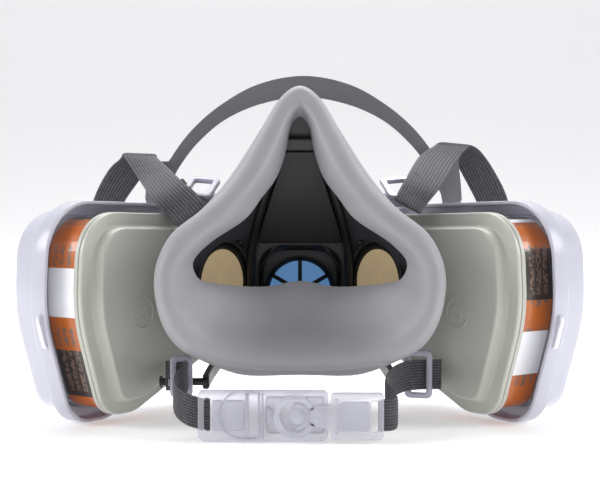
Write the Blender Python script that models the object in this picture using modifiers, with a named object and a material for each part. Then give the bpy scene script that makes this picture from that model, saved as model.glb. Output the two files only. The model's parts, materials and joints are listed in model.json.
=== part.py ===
"""Half-face respirator mask with two filter cartridges and a head harness.

+X is the wearer's right-hand side as seen from behind the mask, +Y points out of the mask,
away from the face, and +Z is up.  The mask stands on the lower edges of its two filter
retainers.  Lengths below are in millimetres and become metres where a mesh is made.
"""
import math

import bmesh
import bpy
from mathutils import Matrix, Vector

MM = 0.001
MASK_NAME = "respirator_mask"

# Placing
REAR_SHIFT = -57.5            # moves the seal's rearmost plane so that the depth is centred
GAP = 0.3                     # clearance between neighbouring pieces
MERGE = 0.00001               # weld distance in metres

# Bayonet ports and cartridges
PORT_CENTRE = (41.0, 68.0, 55.0)
PORT_YAW = 55.0               # degrees between +Y and the port's axis
CASE_CORNERS = [              # along the case, height from the port's axis, corner radius
    (-65.0, 30.5, 12.0),
    (-67.5, -10.0, 60.0),
    (-54.0, -50.5, 12.0),
    (-37.0, -50.5, 20.0),
    (33.0, -22.0, 14.0),
    (33.0, 30.5, 14.0),
]
FLANGE_FRONT = 5.0            # plateau height, and where the rims start
TUB_FLANGE = 7.6
TUB_END = 26.5
RETAINER_LIP = 20.5
RETAINER_END = 44.5
SOCKET_RADIUS = 20.0
SPIGOT_RADIUS = 15.8
PORT_BODY_RADIUS = 17.0
VALVE_RADIUS = 14.2

# Exhalation valve
EXHALE_CENTRE = (0.0, 86.0, 50.0)
EXHALE_RADIUS = 12.5
SEAT_RADIUS = 17.0

# Harness pins
UPPER_PIN = (40.0, 57.0, 89.5)
LOWER_PIN = (47.0, 38.0, 17.0)
PIN_RADIUS = 1.5
PIN_CAP_RADIUS = 2.4
STRAP_WIDTH = 12.0
BUCKLE_WIDTH = 15.0
ARM_THICKNESS = 2.6
PIN_PLAY = 0.5
STRAP_THICKNESS = 1.3
CRADLE_Y = 112.0
CRADLE_THICKNESS = 2.0
WING_X = 71.0

SIDES = (("left", -1), ("right", 1))


# ---------------------------------------------------------------- scene and helpers

def clear_scene():
    for obj in list(bpy.data.objects):
        bpy.data.objects.remove(obj, do_unlink=True)


def new_collection(name):
    collection = bpy.data.collections.new(name)
    bpy.context.scene.collection.children.link(collection)
    return collection


clear_scene()
PARTS = new_collection(MASK_NAME)
CUTTERS = new_collection("cutters")


def new_empty(name, position, rotation=None, parent=None):
    empty = bpy.data.objects.new(name, None)
    empty.location = Vector(position) * MM
    if rotation is not None:
        empty.rotation_euler = rotation.to_euler()
    empty.parent = parent
    PARTS.objects.link(empty)
    return empty


def make_material(name, colour, roughness, alpha=1.0):
    material = bpy.data.materials.new(name)
    material.use_nodes = True
    shader = material.node_tree.nodes["Principled BSDF"]
    shader.inputs["Base Color"].default_value = (*colour, 1.0)
    shader.inputs["Roughness"].default_value = roughness
    shader.inputs["Metallic"].default_value = 0.0
    shader.inputs["Alpha"].default_value = alpha
    return material


ELASTOMER = make_material("elastomer", (0.46, 0.46, 0.48), 0.55)
BLACK_PLASTIC = make_material("black_plastic", (0.02, 0.02, 0.023), 0.4)
CASE_PLASTIC = make_material("case_plastic", (0.43, 0.44, 0.39), 0.45)
CLEAR_PLASTIC = make_material("clear_plastic", (0.75, 0.75, 0.82), 0.15, 0.45)
CRADLE_PLASTIC = make_material("cradle_plastic", (0.14, 0.14, 0.15), 0.5)
WEBBING = make_material("webbing", (0.08, 0.08, 0.09), 0.85)
LABEL_FILM = make_material("label_film", (0.48, 0.11, 0.03), 0.35)
BLUE_RUBBER = make_material("blue_rubber", (0.11, 0.30, 0.68), 0.4)
AMBER_RUBBER = make_material("amber_rubber", (0.66, 0.50, 0.25), 0.45)
FELT = make_material("felt", (0.85, 0.85, 0.84), 0.95)
CARBON = make_material("carbon", (0.015, 0.015, 0.015), 0.9)
GASKET_RUBBER = make_material("gasket_rubber", (0.03, 0.03, 0.03), 0.6)


def mesh_object(name, mesh, material, parent):
    obj = bpy.data.objects.new(name, mesh)
    obj.parent = parent
    if material is None:
        CUTTERS.objects.link(obj)
        obj.hide_render = True
        obj.display_type = "WIRE"
    else:
        mesh.materials.append(material)
        PARTS.objects.link(obj)
    return obj


def finish_bmesh(name, bm, material, parent, smooth_degrees=None):
    """Turns a bmesh in millimetres into an object whose faces point outward."""
    bmesh.ops.scale(bm, vec=(MM, MM, MM), verts=bm.verts)
    bmesh.ops.recalc_face_normals(bm, faces=bm.faces)
    mesh = bpy.data.meshes.new(name)
    bm.to_mesh(mesh)
    bm.free()
    if smooth_degrees is not None:
        mesh.shade_smooth()
        mesh.set_sharp_from_angle(angle=math.radians(smooth_degrees))
    return mesh_object(name, mesh, material, parent)


def rounded_outline(corners, steps=3):
    """Points round a polygon whose corners (x, y, radius) are replaced by arcs."""
    points = []
    count = len(corners)
    for index, (x, y, radius) in enumerate(corners):
        here = Vector((x, y))
        before = Vector(corners[index - 1][:2])
        after = Vector(corners[(index + 1) % count][:2])
        back = (before - here).normalized()
        ahead = (after - here).normalized()
        half_angle = back.angle(ahead) / 2.0
        centre = here + (back + ahead).normalized() * (radius / math.sin(half_angle))
        reach = radius / math.tan(half_angle)
        start = here + back * reach - centre
        sweep = start.angle_signed(here + ahead * reach - centre)
        for step in range(steps + 1):
            turn = Matrix.Rotation(-sweep * step / steps, 2)
            points.append(centre + turn @ start)
    return [(point.x, point.y) for point in points]


def offset_corners(corners, distance):
    """The same polygon with each edge moved outward by distance."""
    count = len(corners)
    area = 0.0
    for index in range(count):
        x0, y0, _ = corners[index]
        x1, y1, _ = corners[(index + 1) % count]
        area += x0 * y1 - x1 * y0
    winding = 1.0 if area > 0 else -1.0
    lines = []
    for index in range(count):
        start = Vector(corners[index][:2])
        end = Vector(corners[(index + 1) % count][:2])
        along = (end - start).normalized()
        normal = Vector((along.y, -along.x)) * winding
        lines.append((start + normal * distance, along))
    moved = []
    for index in range(count):
        point, along = lines[index - 1]
        other, other_along = lines[index]
        cross = along.x * other_along.y - along.y * other_along.x
        between = other - point
        reach = (between.x * other_along.y - between.y * other_along.x) / cross
        corner = point + along * reach
        moved.append((corner.x, corner.y, max(corners[index][2] + distance, 1.0)))
    return moved


def loft(name, rings, material, parent, closed=False, smooth_degrees=None):
    """Joins rings of equal point count; capped at both ends, or closed round on itself."""
    bm = bmesh.new()
    rows = [[bm.verts.new(point) for point in ring] for ring in rings]
    count = len(rows[0])
    pairs = list(zip(rows, rows[1:]))
    if closed:
        pairs.append((rows[-1], rows[0]))
    for row, next_row in pairs:
        for index in range(count):
            after = (index + 1) % count
            bm.faces.new((row[index], row[after], next_row[after], next_row[index]))
    if not closed:
        bm.faces.new(rows[0])
        bm.faces.new(rows[-1])
    return finish_bmesh(name, bm, material, parent, smooth_degrees)


def turned(name, profile, material, parent, position=(0, 0, 0), rotation=None,
           closed=True, steps=24):
    """A profile of (radius, height) turned about the local Z axis with Screw."""
    mesh = bpy.data.meshes.new(name)
    points = [(radius * MM, 0.0, height * MM) for radius, height in profile]
    edges = [(index, index + 1) for index in range(len(points) - 1)]
    if closed:
        edges.append((len(points) - 1, 0))
    mesh.from_pydata(points, edges, [])
    obj = mesh_object(name, mesh, material, parent)
    obj.location = Vector(position) * MM
    if rotation is not None:
        obj.rotation_euler = rotation.to_euler()
    screw = obj.modifiers.new("turn", "SCREW")
    screw.steps = steps
    screw.render_steps = steps
    screw.use_merge_vertices = True
    screw.merge_threshold = MERGE
    screw.use_smooth_shade = True
    return obj


def disc(name, radius, low, high, material, parent, position=(0, 0, 0), rotation=None, steps=24):
    profile = [(0.0, high), (radius, high), (radius, low), (0.0, low)]
    return turned(name, profile, material, parent, position, rotation, closed=False, steps=steps)


def ring(name, inner, outer, low, high, material, parent, position=(0, 0, 0), rotation=None,
         steps=24):
    profile = [(outer, high), (outer, low), (inner, low), (inner, high)]
    return turned(name, profile, material, parent, position, rotation, steps=steps)


def plate(name, outline, holes, thickness, material, parent, place):
    """A flat outline with holes, extruded; place is its local 4 x 4 matrix in millimetres."""
    curve = bpy.data.curves.new(name, "CURVE")
    curve.dimensions = "2D"
    curve.fill_mode = "BOTH"
    curve.extrude = thickness / 2.0 * MM
    for loop in [outline] + holes:
        spline = curve.splines.new("POLY")
        spline.points.add(len(loop) - 1)
        for point, (x, y) in zip(spline.points, loop):
            point.co = (x * MM, y * MM, 0.0, 1.0)
        spline.use_cyclic_u = True
    flat = bpy.data.objects.new(name + "_outline", curve)
    PARTS.objects.link(flat)
    bpy.context.view_layer.update()
    evaluated = flat.evaluated_get(bpy.context.evaluated_depsgraph_get())
    mesh = bpy.data.meshes.new_from_object(evaluated)
    bpy.data.objects.remove(flat, do_unlink=True)
    bpy.data.curves.remove(curve)
    bm = bmesh.new()
    bm.from_mesh(mesh)
    bmesh.ops.remove_doubles(bm, verts=bm.verts, dist=MERGE)
    bmesh.ops.recalc_face_normals(bm, faces=bm.faces)
    bm.to_mesh(mesh)
    bm.free()
    mesh.materials.clear()
    mesh.transform(Matrix.Scale(MM, 4) @ place @ Matrix.Scale(1.0 / MM, 4))
    return mesh_object(name, mesh, material, parent)


def box(name, low, high, material, parent):
    bm = bmesh.new()
    bmesh.ops.create_cube(bm, size=1.0)
    for vert in bm.verts:
        for axis in range(3):
            middle = (low[axis] + high[axis]) / 2.0
            vert.co[axis] = middle + vert.co[axis] * (high[axis] - low[axis])
    return finish_bmesh(name, bm, material, parent)


def ribbon(name, points, widths, width, thickness, material, parent):
    """A flat band through points; widths gives the direction across the band at each one."""
    bm = bmesh.new()
    path = [Vector(point) for point in points]
    rows = []
    for index, here in enumerate(path):
        before = path[max(index - 1, 0)]
        after = path[min(index + 1, len(path) - 1)]
        along = (after - before).normalized()
        across = Vector(widths[index])
        across = (across - along * across.dot(along)).normalized()
        out = along.cross(across)
        half = across * (width / 2.0)
        deep = out * (thickness / 2.0)
        corners = (half + deep, half - deep, -half - deep, deep - half)
        rows.append([bm.verts.new(here + corner) for corner in corners])
    for row, next_row in zip(rows, rows[1:]):
        for index in range(4):
            after = (index + 1) % 4
            bm.faces.new((row[index], row[after], next_row[after], next_row[index]))
    bm.faces.new(rows[0])
    bm.faces.new(rows[-1])
    return finish_bmesh(name, bm, material, parent)


def smooth_path(points, per_span):
    """Points along a Catmull-Rom curve through the given points."""
    path = [Vector(point) for point in points]
    padded = [path[0] * 2 - path[1]] + path + [path[-1] * 2 - path[-2]]
    result = []
    for index in range(1, len(padded) - 2):
        before, start, end, after = padded[index - 1:index + 3]
        for step in range(per_span):
            t = step / per_span
            result.append(0.5 * (2 * start + (end - before) * t
                                 + (2 * before - 5 * start + 4 * end - after) * t ** 2
                                 + (3 * start - before - 3 * end + after) * t ** 3))
    result.append(path[-1])
    return result


def cut(obj, cutter):
    modifier = obj.modifiers.new("cut_" + cutter.name, "BOOLEAN")
    modifier.operation = "DIFFERENCE"
    modifier.object = cutter
    return obj


def join(obj, other):
    modifier = obj.modifiers.new("join_" + other.name, "BOOLEAN")
    modifier.operation = "UNION"
    modifier.object = other
    return obj


# ---------------------------------------------------------------- frames of reference

MASK = new_empty("mask_frame", (0, REAR_SHIFT, 0))
YAW = math.radians(PORT_YAW)


def port_rotation(side):
    """Local Z runs out along the port's axis, local X along the case and local Y is up."""
    outward = Vector((side * math.sin(YAW), math.cos(YAW), 0.0))
    up = Vector((0.0, 0.0, 1.0))
    along = up.cross(outward)
    return Matrix((along, up, outward)).transposed()


# Local Z of this rotation points along +Y, and local X along +X
FACE_OUT = Matrix(((1, 0, 0), (0, 0, 1), (0, -1, 0)))
# Local Z of this rotation points along +X
SIDEWAYS = Matrix(((0, 0, 1), (1, 0, 0), (0, 1, 0)))


def case_ring(side, offset, height):
    """The cartridge outline moved outward by offset, at a height along the port's axis.

    A positive along-the-case value points to the front of the mask, on both sides.
    """
    outline = rounded_outline(offset_corners(CASE_CORNERS, offset))
    return [(side * x, y, height) for x, y in outline]


# ---------------------------------------------------------------- cartridge

def make_cartridge_back(side, label, parent):
    levels = [(-6.9, 0.0), (-6.0, 0.8), (-5.3, 4.6), (-1.0, FLANGE_FRONT),
              (0.0, 5.7), (0.0, 7.3), (-7.2, 7.3), (-8.1, 2.0)]
    rings = [case_ring(side, offset, height) for offset, height in levels]
    back = loft("cartridge_back_" + label, rings, CASE_PLASTIC, parent, smooth_degrees=35)
    hole = disc("socket_hole_" + label, SOCKET_RADIUS + GAP, -2.0, 9.0, None, parent)
    return cut(back, hole)


def make_cartridge_tub(side, label, parent):
    profile = [(0.0, TUB_FLANGE), (0.0, 9.8), (-2.5, 10.1), (-2.5, TUB_END), (-9.0, TUB_END),
               (-9.0, TUB_END - 1.5), (-4.5, TUB_END - 1.5), (-4.5, TUB_FLANGE)]
    rings = [case_ring(side, offset, height) for offset, height in profile]
    return loft("cartridge_tub_" + label, rings, CASE_PLASTIC, parent, True, 35)


def make_label(side, label, parent):
    high = TUB_END - 1.1
    profile = [(-2.2, 10.7), (-1.8, 10.7), (-1.8, high), (-2.2, high)]
    rings = [case_ring(side, offset, height) for offset, height in profile]
    return loft("cartridge_label_" + label, rings, LABEL_FILM, parent, True, 35)


def make_carbon_bed(side, label, parent):
    rings = [case_ring(side, -5.2, 7.8), case_ring(side, -5.2, TUB_END - 3.5)]
    return loft("carbon_bed_" + label, rings, CARBON, parent)


def slot_outline(centre_x, centre_y, length, width, steps=3):
    half_x = length / 2.0
    half_y = width / 2.0
    radius = min(half_x, half_y) * 0.98
    corners = [(centre_x - half_x, centre_y - half_y, radius),
               (centre_x + half_x, centre_y - half_y, radius),
               (centre_x + half_x, centre_y + half_y, radius),
               (centre_x - half_x, centre_y + half_y, radius)]
    return rounded_outline(corners, steps)


def make_cartridge_grille(side, label, parent):
    outline = rounded_outline(offset_corners(CASE_CORNERS, -5.2))
    outline = [(side * x, y) for x, y in outline]
    holes = []
    for row in range(5):
        for column in range(3):
            centre_x = side * (-43.0 + column * 28.0)
            centre_y = 15.0 - row * 11.0
            inside = row < 3 or column == 0 or (row == 3 and column == 1)
            if inside:
                holes.append(slot_outline(centre_x, centre_y, 22.0, 5.0, 2))
    place = Matrix.Translation((0.0, 0.0, TUB_END - 2.5))
    return plate("cartridge_grille_" + label, outline, holes, 1.4, CASE_PLASTIC, parent, place)


def make_socket_ring(label, parent):
    profile = [(SOCKET_RADIUS, 7.2), (SOCKET_RADIUS, -GAP), (22.0, -GAP), (22.0, -1.5),
               (16.2, -1.5), (16.2, 0.5), (17.4, 0.5), (17.4, 7.2)]
    return turned("socket_ring_" + label, profile, BLACK_PLASTIC, parent)


def make_retainer(side, label, parent):
    inside = [(-9.0, 43.0), (-8.3, 41.2), (-2.4, 40.8), (-1.4, 28.2), (2.9, 27.4),
              (3.1, RETAINER_LIP)]
    outside = [(4.5, RETAINER_LIP), (4.5, 28.0), (3.7, 29.0), (0.6, 29.4), (0.2, 41.0),
               (-1.0, 42.4), (-6.4, 42.8), (-7.4, 44.0), (-8.6, RETAINER_END)]
    rings = [case_ring(side, offset, height) for offset, height in inside + outside]
    retainer = loft("filter_retainer_" + label, rings, CLEAR_PLASTIC, parent, False, 30)
    for row in range(3):
        middle = side * (-24.0 + row * 2.0)
        outline = slot_outline(middle, 12.0 - row * 14.0, 62.0 - row * 12.0, 8.0)
        place = Matrix.Translation((0.0, 0.0, RETAINER_END))
        window = plate("window_%d_%s" % (row, label), outline, [], 8.0, None, parent, place)
        cut(retainer, window)
    return retainer


def make_retainer_tab(side, label, parent):
    """The thumb tab on the retainer's rear end, joined to it."""
    start = Vector(CASE_CORNERS[1][:2])
    end = Vector(CASE_CORNERS[2][:2])
    along = (end - start).normalized()
    outward = Vector((along.y, -along.x))
    corners = ((12.0, 3.8), (12.0, 8.0), (27.0, 8.0), (27.0, 3.8))
    outline = []
    for reach, proud in corners:
        point = start + along * reach + outward * proud
        outline.append((side * point.x, point.y))
    place = Matrix.Translation((0.0, 0.0, RETAINER_LIP + 4.0))
    return plate("tab_" + label, outline, [], 2.4, None, parent, place)


def make_prefilter(side, label, parent):
    levels = [(-4.2, TUB_END + 0.4), (-3.4, TUB_END + 1.3), (-3.4, 38.8), (-4.2, 39.8)]
    rings = [case_ring(side, offset, height) for offset, height in levels]
    return loft("prefilter_pad_" + label, rings, FELT, parent, False, 30)


def make_cartridges():
    for label, side in SIDES:
        centre = (side * PORT_CENTRE[0], PORT_CENTRE[1], PORT_CENTRE[2])
        axis = new_empty("cartridge_axis_" + label, centre, port_rotation(side), MASK)
        make_cartridge_back(side, label, axis)
        make_cartridge_tub(side, label, axis)
        make_label(side, label, axis)
        make_carbon_bed(side, label, axis)
        make_cartridge_grille(side, label, axis)
        make_socket_ring(label, axis)
        retainer = make_retainer(side, label, axis)
        join(retainer, make_retainer_tab(side, label, axis))
        make_prefilter(side, label, axis)


# ---------------------------------------------------------------- ports and valves

def spoke_boxes(name, obj, parent, count, inner, outer, width, low, high, rotate=0.0):
    """Joins radial bars to a turned ring, in the ring's own frame."""
    for index in range(count):
        spoke = box("%s_spoke_%d" % (name, index), (inner, -width / 2.0, low),
                    (outer, width / 2.0, high), None, parent)
        spoke.location = obj.location
        turn = Matrix.Rotation(rotate + index * 2.0 * math.pi / count, 3, "Z")
        spoke.rotation_euler = (obj.rotation_euler.to_matrix() @ turn).to_euler()
        join(obj, spoke)


def make_port(label, parent):
    profile = [(SPIGOT_RADIUS, 4.5), (SPIGOT_RADIUS, -3.4), (20.0, -3.4), (20.0, -4.9),
               (PORT_BODY_RADIUS, -4.9), (PORT_BODY_RADIUS, -11.0), (14.8, -11.0),
               (14.8, -9.5), (12.8, -9.5), (12.8, -8.0), (13.4, -8.0), (13.4, 4.5)]
    port = turned("bayonet_port_" + label, profile, BLACK_PLASTIC, parent)
    hub = disc("port_hub_" + label, 3.0, -9.5, -8.0, None, parent)
    spoke_boxes("port_" + label, port, parent, 4, 1.5, 13.1, 1.6, -9.5, -8.0)
    join(port, hub)
    return port


def make_ports():
    for label, side in SIDES:
        centre = (side * PORT_CENTRE[0], PORT_CENTRE[1], PORT_CENTRE[2])
        axis = new_empty("port_axis_" + label, centre, port_rotation(side), MASK)
        make_port(label, axis)
        ring("port_gasket_" + label, SPIGOT_RADIUS + GAP, 19.5, -3.1, -1.8, GASKET_RUBBER, axis)
        disc("inhalation_valve_" + label, VALVE_RADIUS, -10.6, -9.8, AMBER_RUBBER, axis)


def make_exhalation_seat():
    profile = [(19.5, 3.4), (19.5, 2.2), (SEAT_RADIUS, 2.2), (SEAT_RADIUS, -3.0), (13.2, -3.0),
               (13.2, -1.6), (14.4, -1.6), (14.4, 3.4)]
    seat = turned("exhalation_seat", profile, BLACK_PLASTIC, MASK, EXHALE_CENTRE, FACE_OUT)
    hub = disc("seat_hub", 2.6, -3.0, -1.6, None, MASK, EXHALE_CENTRE, FACE_OUT)
    spoke_boxes("seat", seat, MASK, 6, 1.5, 13.8, 1.5, -3.0, -1.6, math.radians(30.0))
    return join(seat, hub)


def make_exhalation_valve():
    return disc("exhalation_valve", EXHALE_RADIUS + 1.4, -1.3, -0.5, BLUE_RUBBER, MASK,
                EXHALE_CENTRE, FACE_OUT)


# ---------------------------------------------------------------- facepiece

def frame_corners(top, half_width, cheek, half_chin, chin):
    return [(0.0, top, 9.0), (-half_width, cheek, 13.0), (-half_chin, chin, 12.0),
            (half_chin, chin, 12.0), (half_width, cheek, 13.0)]


# Depth at cheek height, lean of the section's plane, then nose height, cheek half width and
# height, chin half width and height
FRAME_SECTIONS = [
    (38.0, 0.22, 126.0, 50.5, 56.0, 32.0, 26.0),
    (46.0, 0.20, 123.5, 46.5, 57.0, 31.0, 27.0),
    (56.0, 0.12, 119.0, 40.5, 57.0, 29.0, 28.0),
    (70.0, 0.04, 112.0, 32.0, 58.0, 27.0, 29.0),
    (82.0, 0.0, 99.0, 24.0, 58.0, 23.5, 30.5),
    (88.0, 0.0, 87.0, 20.7, 58.0, 20.7, 32.0),
]


def section_outline(section, offset, steps=3):
    corners = frame_corners(*section[2:])
    return rounded_outline(offset_corners(corners, offset), steps)


def section_depth(section, height):
    return section[0] + section[1] * (height - EXHALE_CENTRE[2])


def frame_ring(section, offset):
    return [(x, section_depth(section, z), z) for x, z in section_outline(section, offset)]


def make_inner_frame():
    wall = 2.2
    inside = []
    for section in FRAME_SECTIONS:
        depth = min(section[0], 85.8)
        moved = (depth,) + section[1:]
        inside.append(frame_ring(moved, -wall))
    inside.reverse()
    outside = [frame_ring(section, 0.0) for section in FRAME_SECTIONS]
    frame = loft("inner_frame", inside + outside, BLACK_PLASTIC, MASK, False, 25)
    for label, side in SIDES:
        centre = (side * PORT_CENTRE[0], PORT_CENTRE[1], PORT_CENTRE[2])
        rotation = port_rotation(side)
        boss = disc("port_boss_" + label, 21.0, -10.4, -5.2, None, MASK, centre, rotation)
        join(frame, boss)
    for label, side in SIDES:
        centre = (side * PORT_CENTRE[0], PORT_CENTRE[1], PORT_CENTRE[2])
        rotation = port_rotation(side)
        hole = disc("port_hole_" + label, PORT_BODY_RADIUS + GAP, -26.0, 0.0, None, MASK,
                    centre, rotation)
        cut(frame, hole)
    opening = disc("seat_hole", SEAT_RADIUS + GAP, -12.0, 12.0, None, MASK, EXHALE_CENTRE,
                   FACE_OUT)
    return cut(frame, opening)


# Half of the face seal, from the nose to the chin: the outer silhouette, the crest that
# touches the face, and the inner lip, each as (half width, depth, height)
SEAL_STATIONS = [
    ((0.0, 44.0, 135.0), (0.0, 37.0, 131.5), (0.0, 40.0, 123.8)),
    ((8.6, 40.0, 128.0), (6.5, 33.5, 124.0), (4.6, 37.0, 119.0)),
    ((16.5, 30.0, 114.0), (12.5, 25.0, 111.0), (7.0, 34.0, 108.0)),
    ((23.5, 23.0, 99.5), (19.0, 17.5, 97.5), (10.5, 28.0, 98.0)),
    ((30.0, 17.0, 91.0), (25.5, 11.5, 89.5), (16.0, 23.0, 90.5)),
    ((38.5, 11.0, 84.0), (34.0, 5.5, 80.5), (22.0, 18.0, 82.0)),
    ((48.5, 8.0, 76.0), (43.5, 2.0, 72.0), (33.5, 13.0, 72.5)),
    ((53.8, 6.0, 64.0), (49.0, 0.5, 62.5), (40.5, 12.0, 65.0)),
    ((53.8, 7.0, 51.0), (49.0, 0.0, 51.5), (39.5, 15.0, 60.5)),
    ((49.5, 9.0, 38.0), (44.5, 1.5, 42.0), (33.0, 20.0, 57.0)),
    ((40.0, 12.0, 29.5), (36.0, 4.5, 34.0), (24.0, 25.0, 55.8)),
    ((22.0, 16.0, 24.5), (20.0, 8.5, 29.0), (12.5, 29.0, 55.5)),
    ((0.0, 18.0, 24.0), (0.0, 10.5, 28.0), (0.0, 31.0, 57.0)),
]
SEAL_THICKNESS = 2.0
COLLAR_LENGTH = 7.5


def mirror_stations():
    stations = list(SEAL_STATIONS)
    for station in reversed(SEAL_STATIONS[1:-1]):
        stations.append(tuple((-x, y, z) for x, y, z in station))
    return stations


def outline_point(outline, centre, direction):
    """Where a ray from centre meets a closed outline in the X-Z plane."""
    best = None
    count = len(outline)
    for index in range(count):
        start = Vector(outline[index]) - centre
        edge = Vector(outline[(index + 1) % count]) - Vector(outline[index])
        cross = direction.x * edge.y - direction.y * edge.x
        if abs(cross) < 1e-9:
            continue
        distance = (start.x * edge.y - start.y * edge.x) / cross
        fraction = (start.x * direction.y - start.y * direction.x) / cross
        if distance > 0 and -1e-6 <= fraction <= 1 + 1e-6:
            best = centre + direction * distance
    return best


def make_face_seal():
    rim = FRAME_SECTIONS[0]
    collar = section_outline(rim, 4.0, 4)
    centre = Vector((0.0, 62.0))
    rows = [[], [], [], [], [], []]
    for outer, crest, inner in mirror_stations():
        outer = Vector(outer)
        crest = Vector(crest)
        inner = Vector(inner)
        direction = (Vector((outer.x, outer.z)) - centre).normalized()
        flat = outline_point(collar, centre, direction)
        rear = section_depth(rim, flat.y) - 1.0
        rows[0].append(Vector((flat.x, rear + COLLAR_LENGTH, flat.y)))
        rows[1].append(Vector((flat.x, rear, flat.y)))
        rows[2].append(outer + Vector((0.0, 2.0, 0.0)))
        rows[3].append(crest.lerp(outer, 0.45) - Vector((0.0, 1.2, 0.0)))
        rows[4].append(crest)
        rows[5].append(inner)
    bm = bmesh.new()
    grid = [[bm.verts.new(point) for point in row] for row in rows]
    count = len(grid[0])
    for row, next_row in zip(grid, grid[1:]):
        for index in range(count):
            after = (index + 1) % count
            bm.faces.new((row[index], row[after], next_row[after], next_row[index]))
    seal = finish_bmesh("face_seal", bm, ELASTOMER, MASK)
    seal.data.shade_smooth()
    skin = seal.modifiers.new("skin", "SOLIDIFY")
    skin.thickness = SEAL_THICKNESS * MM
    skin.offset = 0.0
    return seal


# ---------------------------------------------------------------- yoke and its arms

def arm_route(near, pin, rise):
    """From the yoke's corner round the facepiece to a strap pin."""
    if rise > pin[2]:
        return [(15.0, 97.0, rise), (24.0, 91.0, 29.0), (32.5, 78.0, 23.0),
                (near - 1.0, 60.0, 18.5), (near, pin[1], pin[2])]
    return [(6.0, 97.0, rise), (16.0, 93.5, 86.5), (24.0, 82.0, 89.0),
            (near - 1.0, 68.0, pin[2]), (near, pin[1], pin[2])]


def make_yoke():
    base = [(-8.0, 85.0, 4.0), (-19.5, 60.0, 12.0), (-17.5, 30.0, 9.0),
            (17.5, 30.0, 9.0), (19.5, 60.0, 12.0), (8.0, 85.0, 4.0)]
    levels = [(-1.2, 91.6), (0.0, 92.4), (-0.8, 99.0), (-4.0, 103.5), (-8.0, 105.0)]
    inside = [(-8.5, 103.0), (-6.0, 101.6), (-3.0, 98.5), (-2.4, 91.6)]
    rings = []
    for offset, depth in inside + levels:
        corners = [(x, z, max(radius, 3.0)) for x, z, radius in offset_corners(base, offset)]
        rings.append([(x, depth, z) for x, z in rounded_outline(corners)])
    yoke = loft("front_yoke", rings, BLACK_PLASTIC, MASK, False, 35)
    for row in range(4):
        height = 38.0 + row * 7.0
        slot = box("vent_%d" % row, (-11.0, 96.0, height), (11.0, 110.0, height + 3.0), None, MASK)
        cut(yoke, slot)
    for label, side in SIDES:
        for name, pin, rise in (("upper", UPPER_PIN, 80.5), ("lower", LOWER_PIN, 35.0)):
            near = pin[0] - BUCKLE_WIDTH / 2 - PIN_PLAY - ARM_THICKNESS / 2
            far = pin[0] + BUCKLE_WIDTH / 2 + PIN_PLAY
            route = arm_route(near, pin, rise)
            path = smooth_path([(side * x, y, z) for x, y, z in route], 2)
            arm = ribbon("%s_arm_%s" % (name, label), path, [(0, 0, 1)] * len(path), 6.0,
                         ARM_THICKNESS, None, MASK)
            join(yoke, arm)
            outward = SIDEWAYS if side > 0 else flipped(SIDEWAYS)
            start = (side * near, pin[1], pin[2])
            length = far - near
            axle = disc("%s_axle_%s" % (name, label), PIN_RADIUS, 0.0, length + 0.5, None, MASK,
                        start, outward, 16)
            cap = disc("%s_cap_%s" % (name, label), PIN_CAP_RADIUS, length, length + 1.2, None,
                       MASK, start, outward, 16)
            join(yoke, join(axle, cap))
    return yoke


def flipped(rotation):
    """The same rotation with its local Z axis reversed."""
    return rotation @ Matrix.Rotation(math.pi, 3, "X")


# ---------------------------------------------------------------- head harness

def buckle(name, side, pin, length, material):
    """A ladder buckle that stands on its pin: a slotted plate with an eye at its foot."""
    width = BUCKLE_WIDTH
    centre_x = side * (pin[0])
    outline = rounded_outline([(centre_x - width / 2, 2.2, 1.5), (centre_x + width / 2, 2.2, 1.5),
                               (centre_x + width / 2, length, 2.0),
                               (centre_x - width / 2, length, 2.0)])
    slot = slot_outline(centre_x, length - 3.6, 12.4, 2.6, 2)
    place = Matrix.Translation((0.0, pin[1], pin[2])) @ FACE_UP.to_4x4()
    body = plate(name, outline, [slot], 2.2, material, MASK, place)
    eye = ring(name + "_eye", PIN_RADIUS + 0.4, 3.2, -width / 2, width / 2, None, MASK,
               (centre_x, pin[1], pin[2]), SIDEWAYS, 16)
    return join(body, eye)


# Local X stays +X and local Y becomes +Z, so a flat outline stands up facing -Y
FACE_UP = Matrix(((1, 0, 0), (0, 0, -1), (0, 1, 0)))


# Half of the cradle's arch: its outer and inner edges, half width and height
ARCH_OUTER = [(0.0, 146.0), (20.0, 141.8), (36.5, 132.5), (49.0, 121.5), (58.0, 109.5),
              (64.0, 98.0)]
ARCH_INNER = [(0.0, 136.0), (19.0, 132.8), (35.0, 125.5), (47.0, 115.0), (54.5, 105.0),
              (58.0, 98.5)]


def smooth_outline(points, per_span):
    path = smooth_path([(x, 0.0, z) for x, z in points], per_span)
    return [(point.x, point.z) for point in path]


def make_cradle():
    """The crown arch, with a slotted wing at each end for the strap."""
    outer = smooth_outline(ARCH_OUTER, 2)
    inner = smooth_outline(ARCH_INNER, 2)
    wing = [(61.5, 106.5), (WING_X + 8.5, 106.5), (WING_X + 10.0, 105.0),
            (WING_X + 10.0, 100.0), (WING_X + 8.5, 98.5)]
    crown = [point for point in outer if point[1] > 108.0]
    half = crown + wing + inner[::-1]
    outline = half + [(-x, z) for x, z in reversed(half[1:-1])]
    slots = [slot_outline(side * WING_X, 102.4, 13.5, 3.0, 2) for side in (1, -1)]
    place = Matrix.Translation((0.0, CRADLE_Y, 0.0)) @ FACE_UP.to_4x4()
    return plate("crown_cradle", outline, slots, CRADLE_THICKNESS, CRADLE_PLASTIC, MASK, place)


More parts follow.
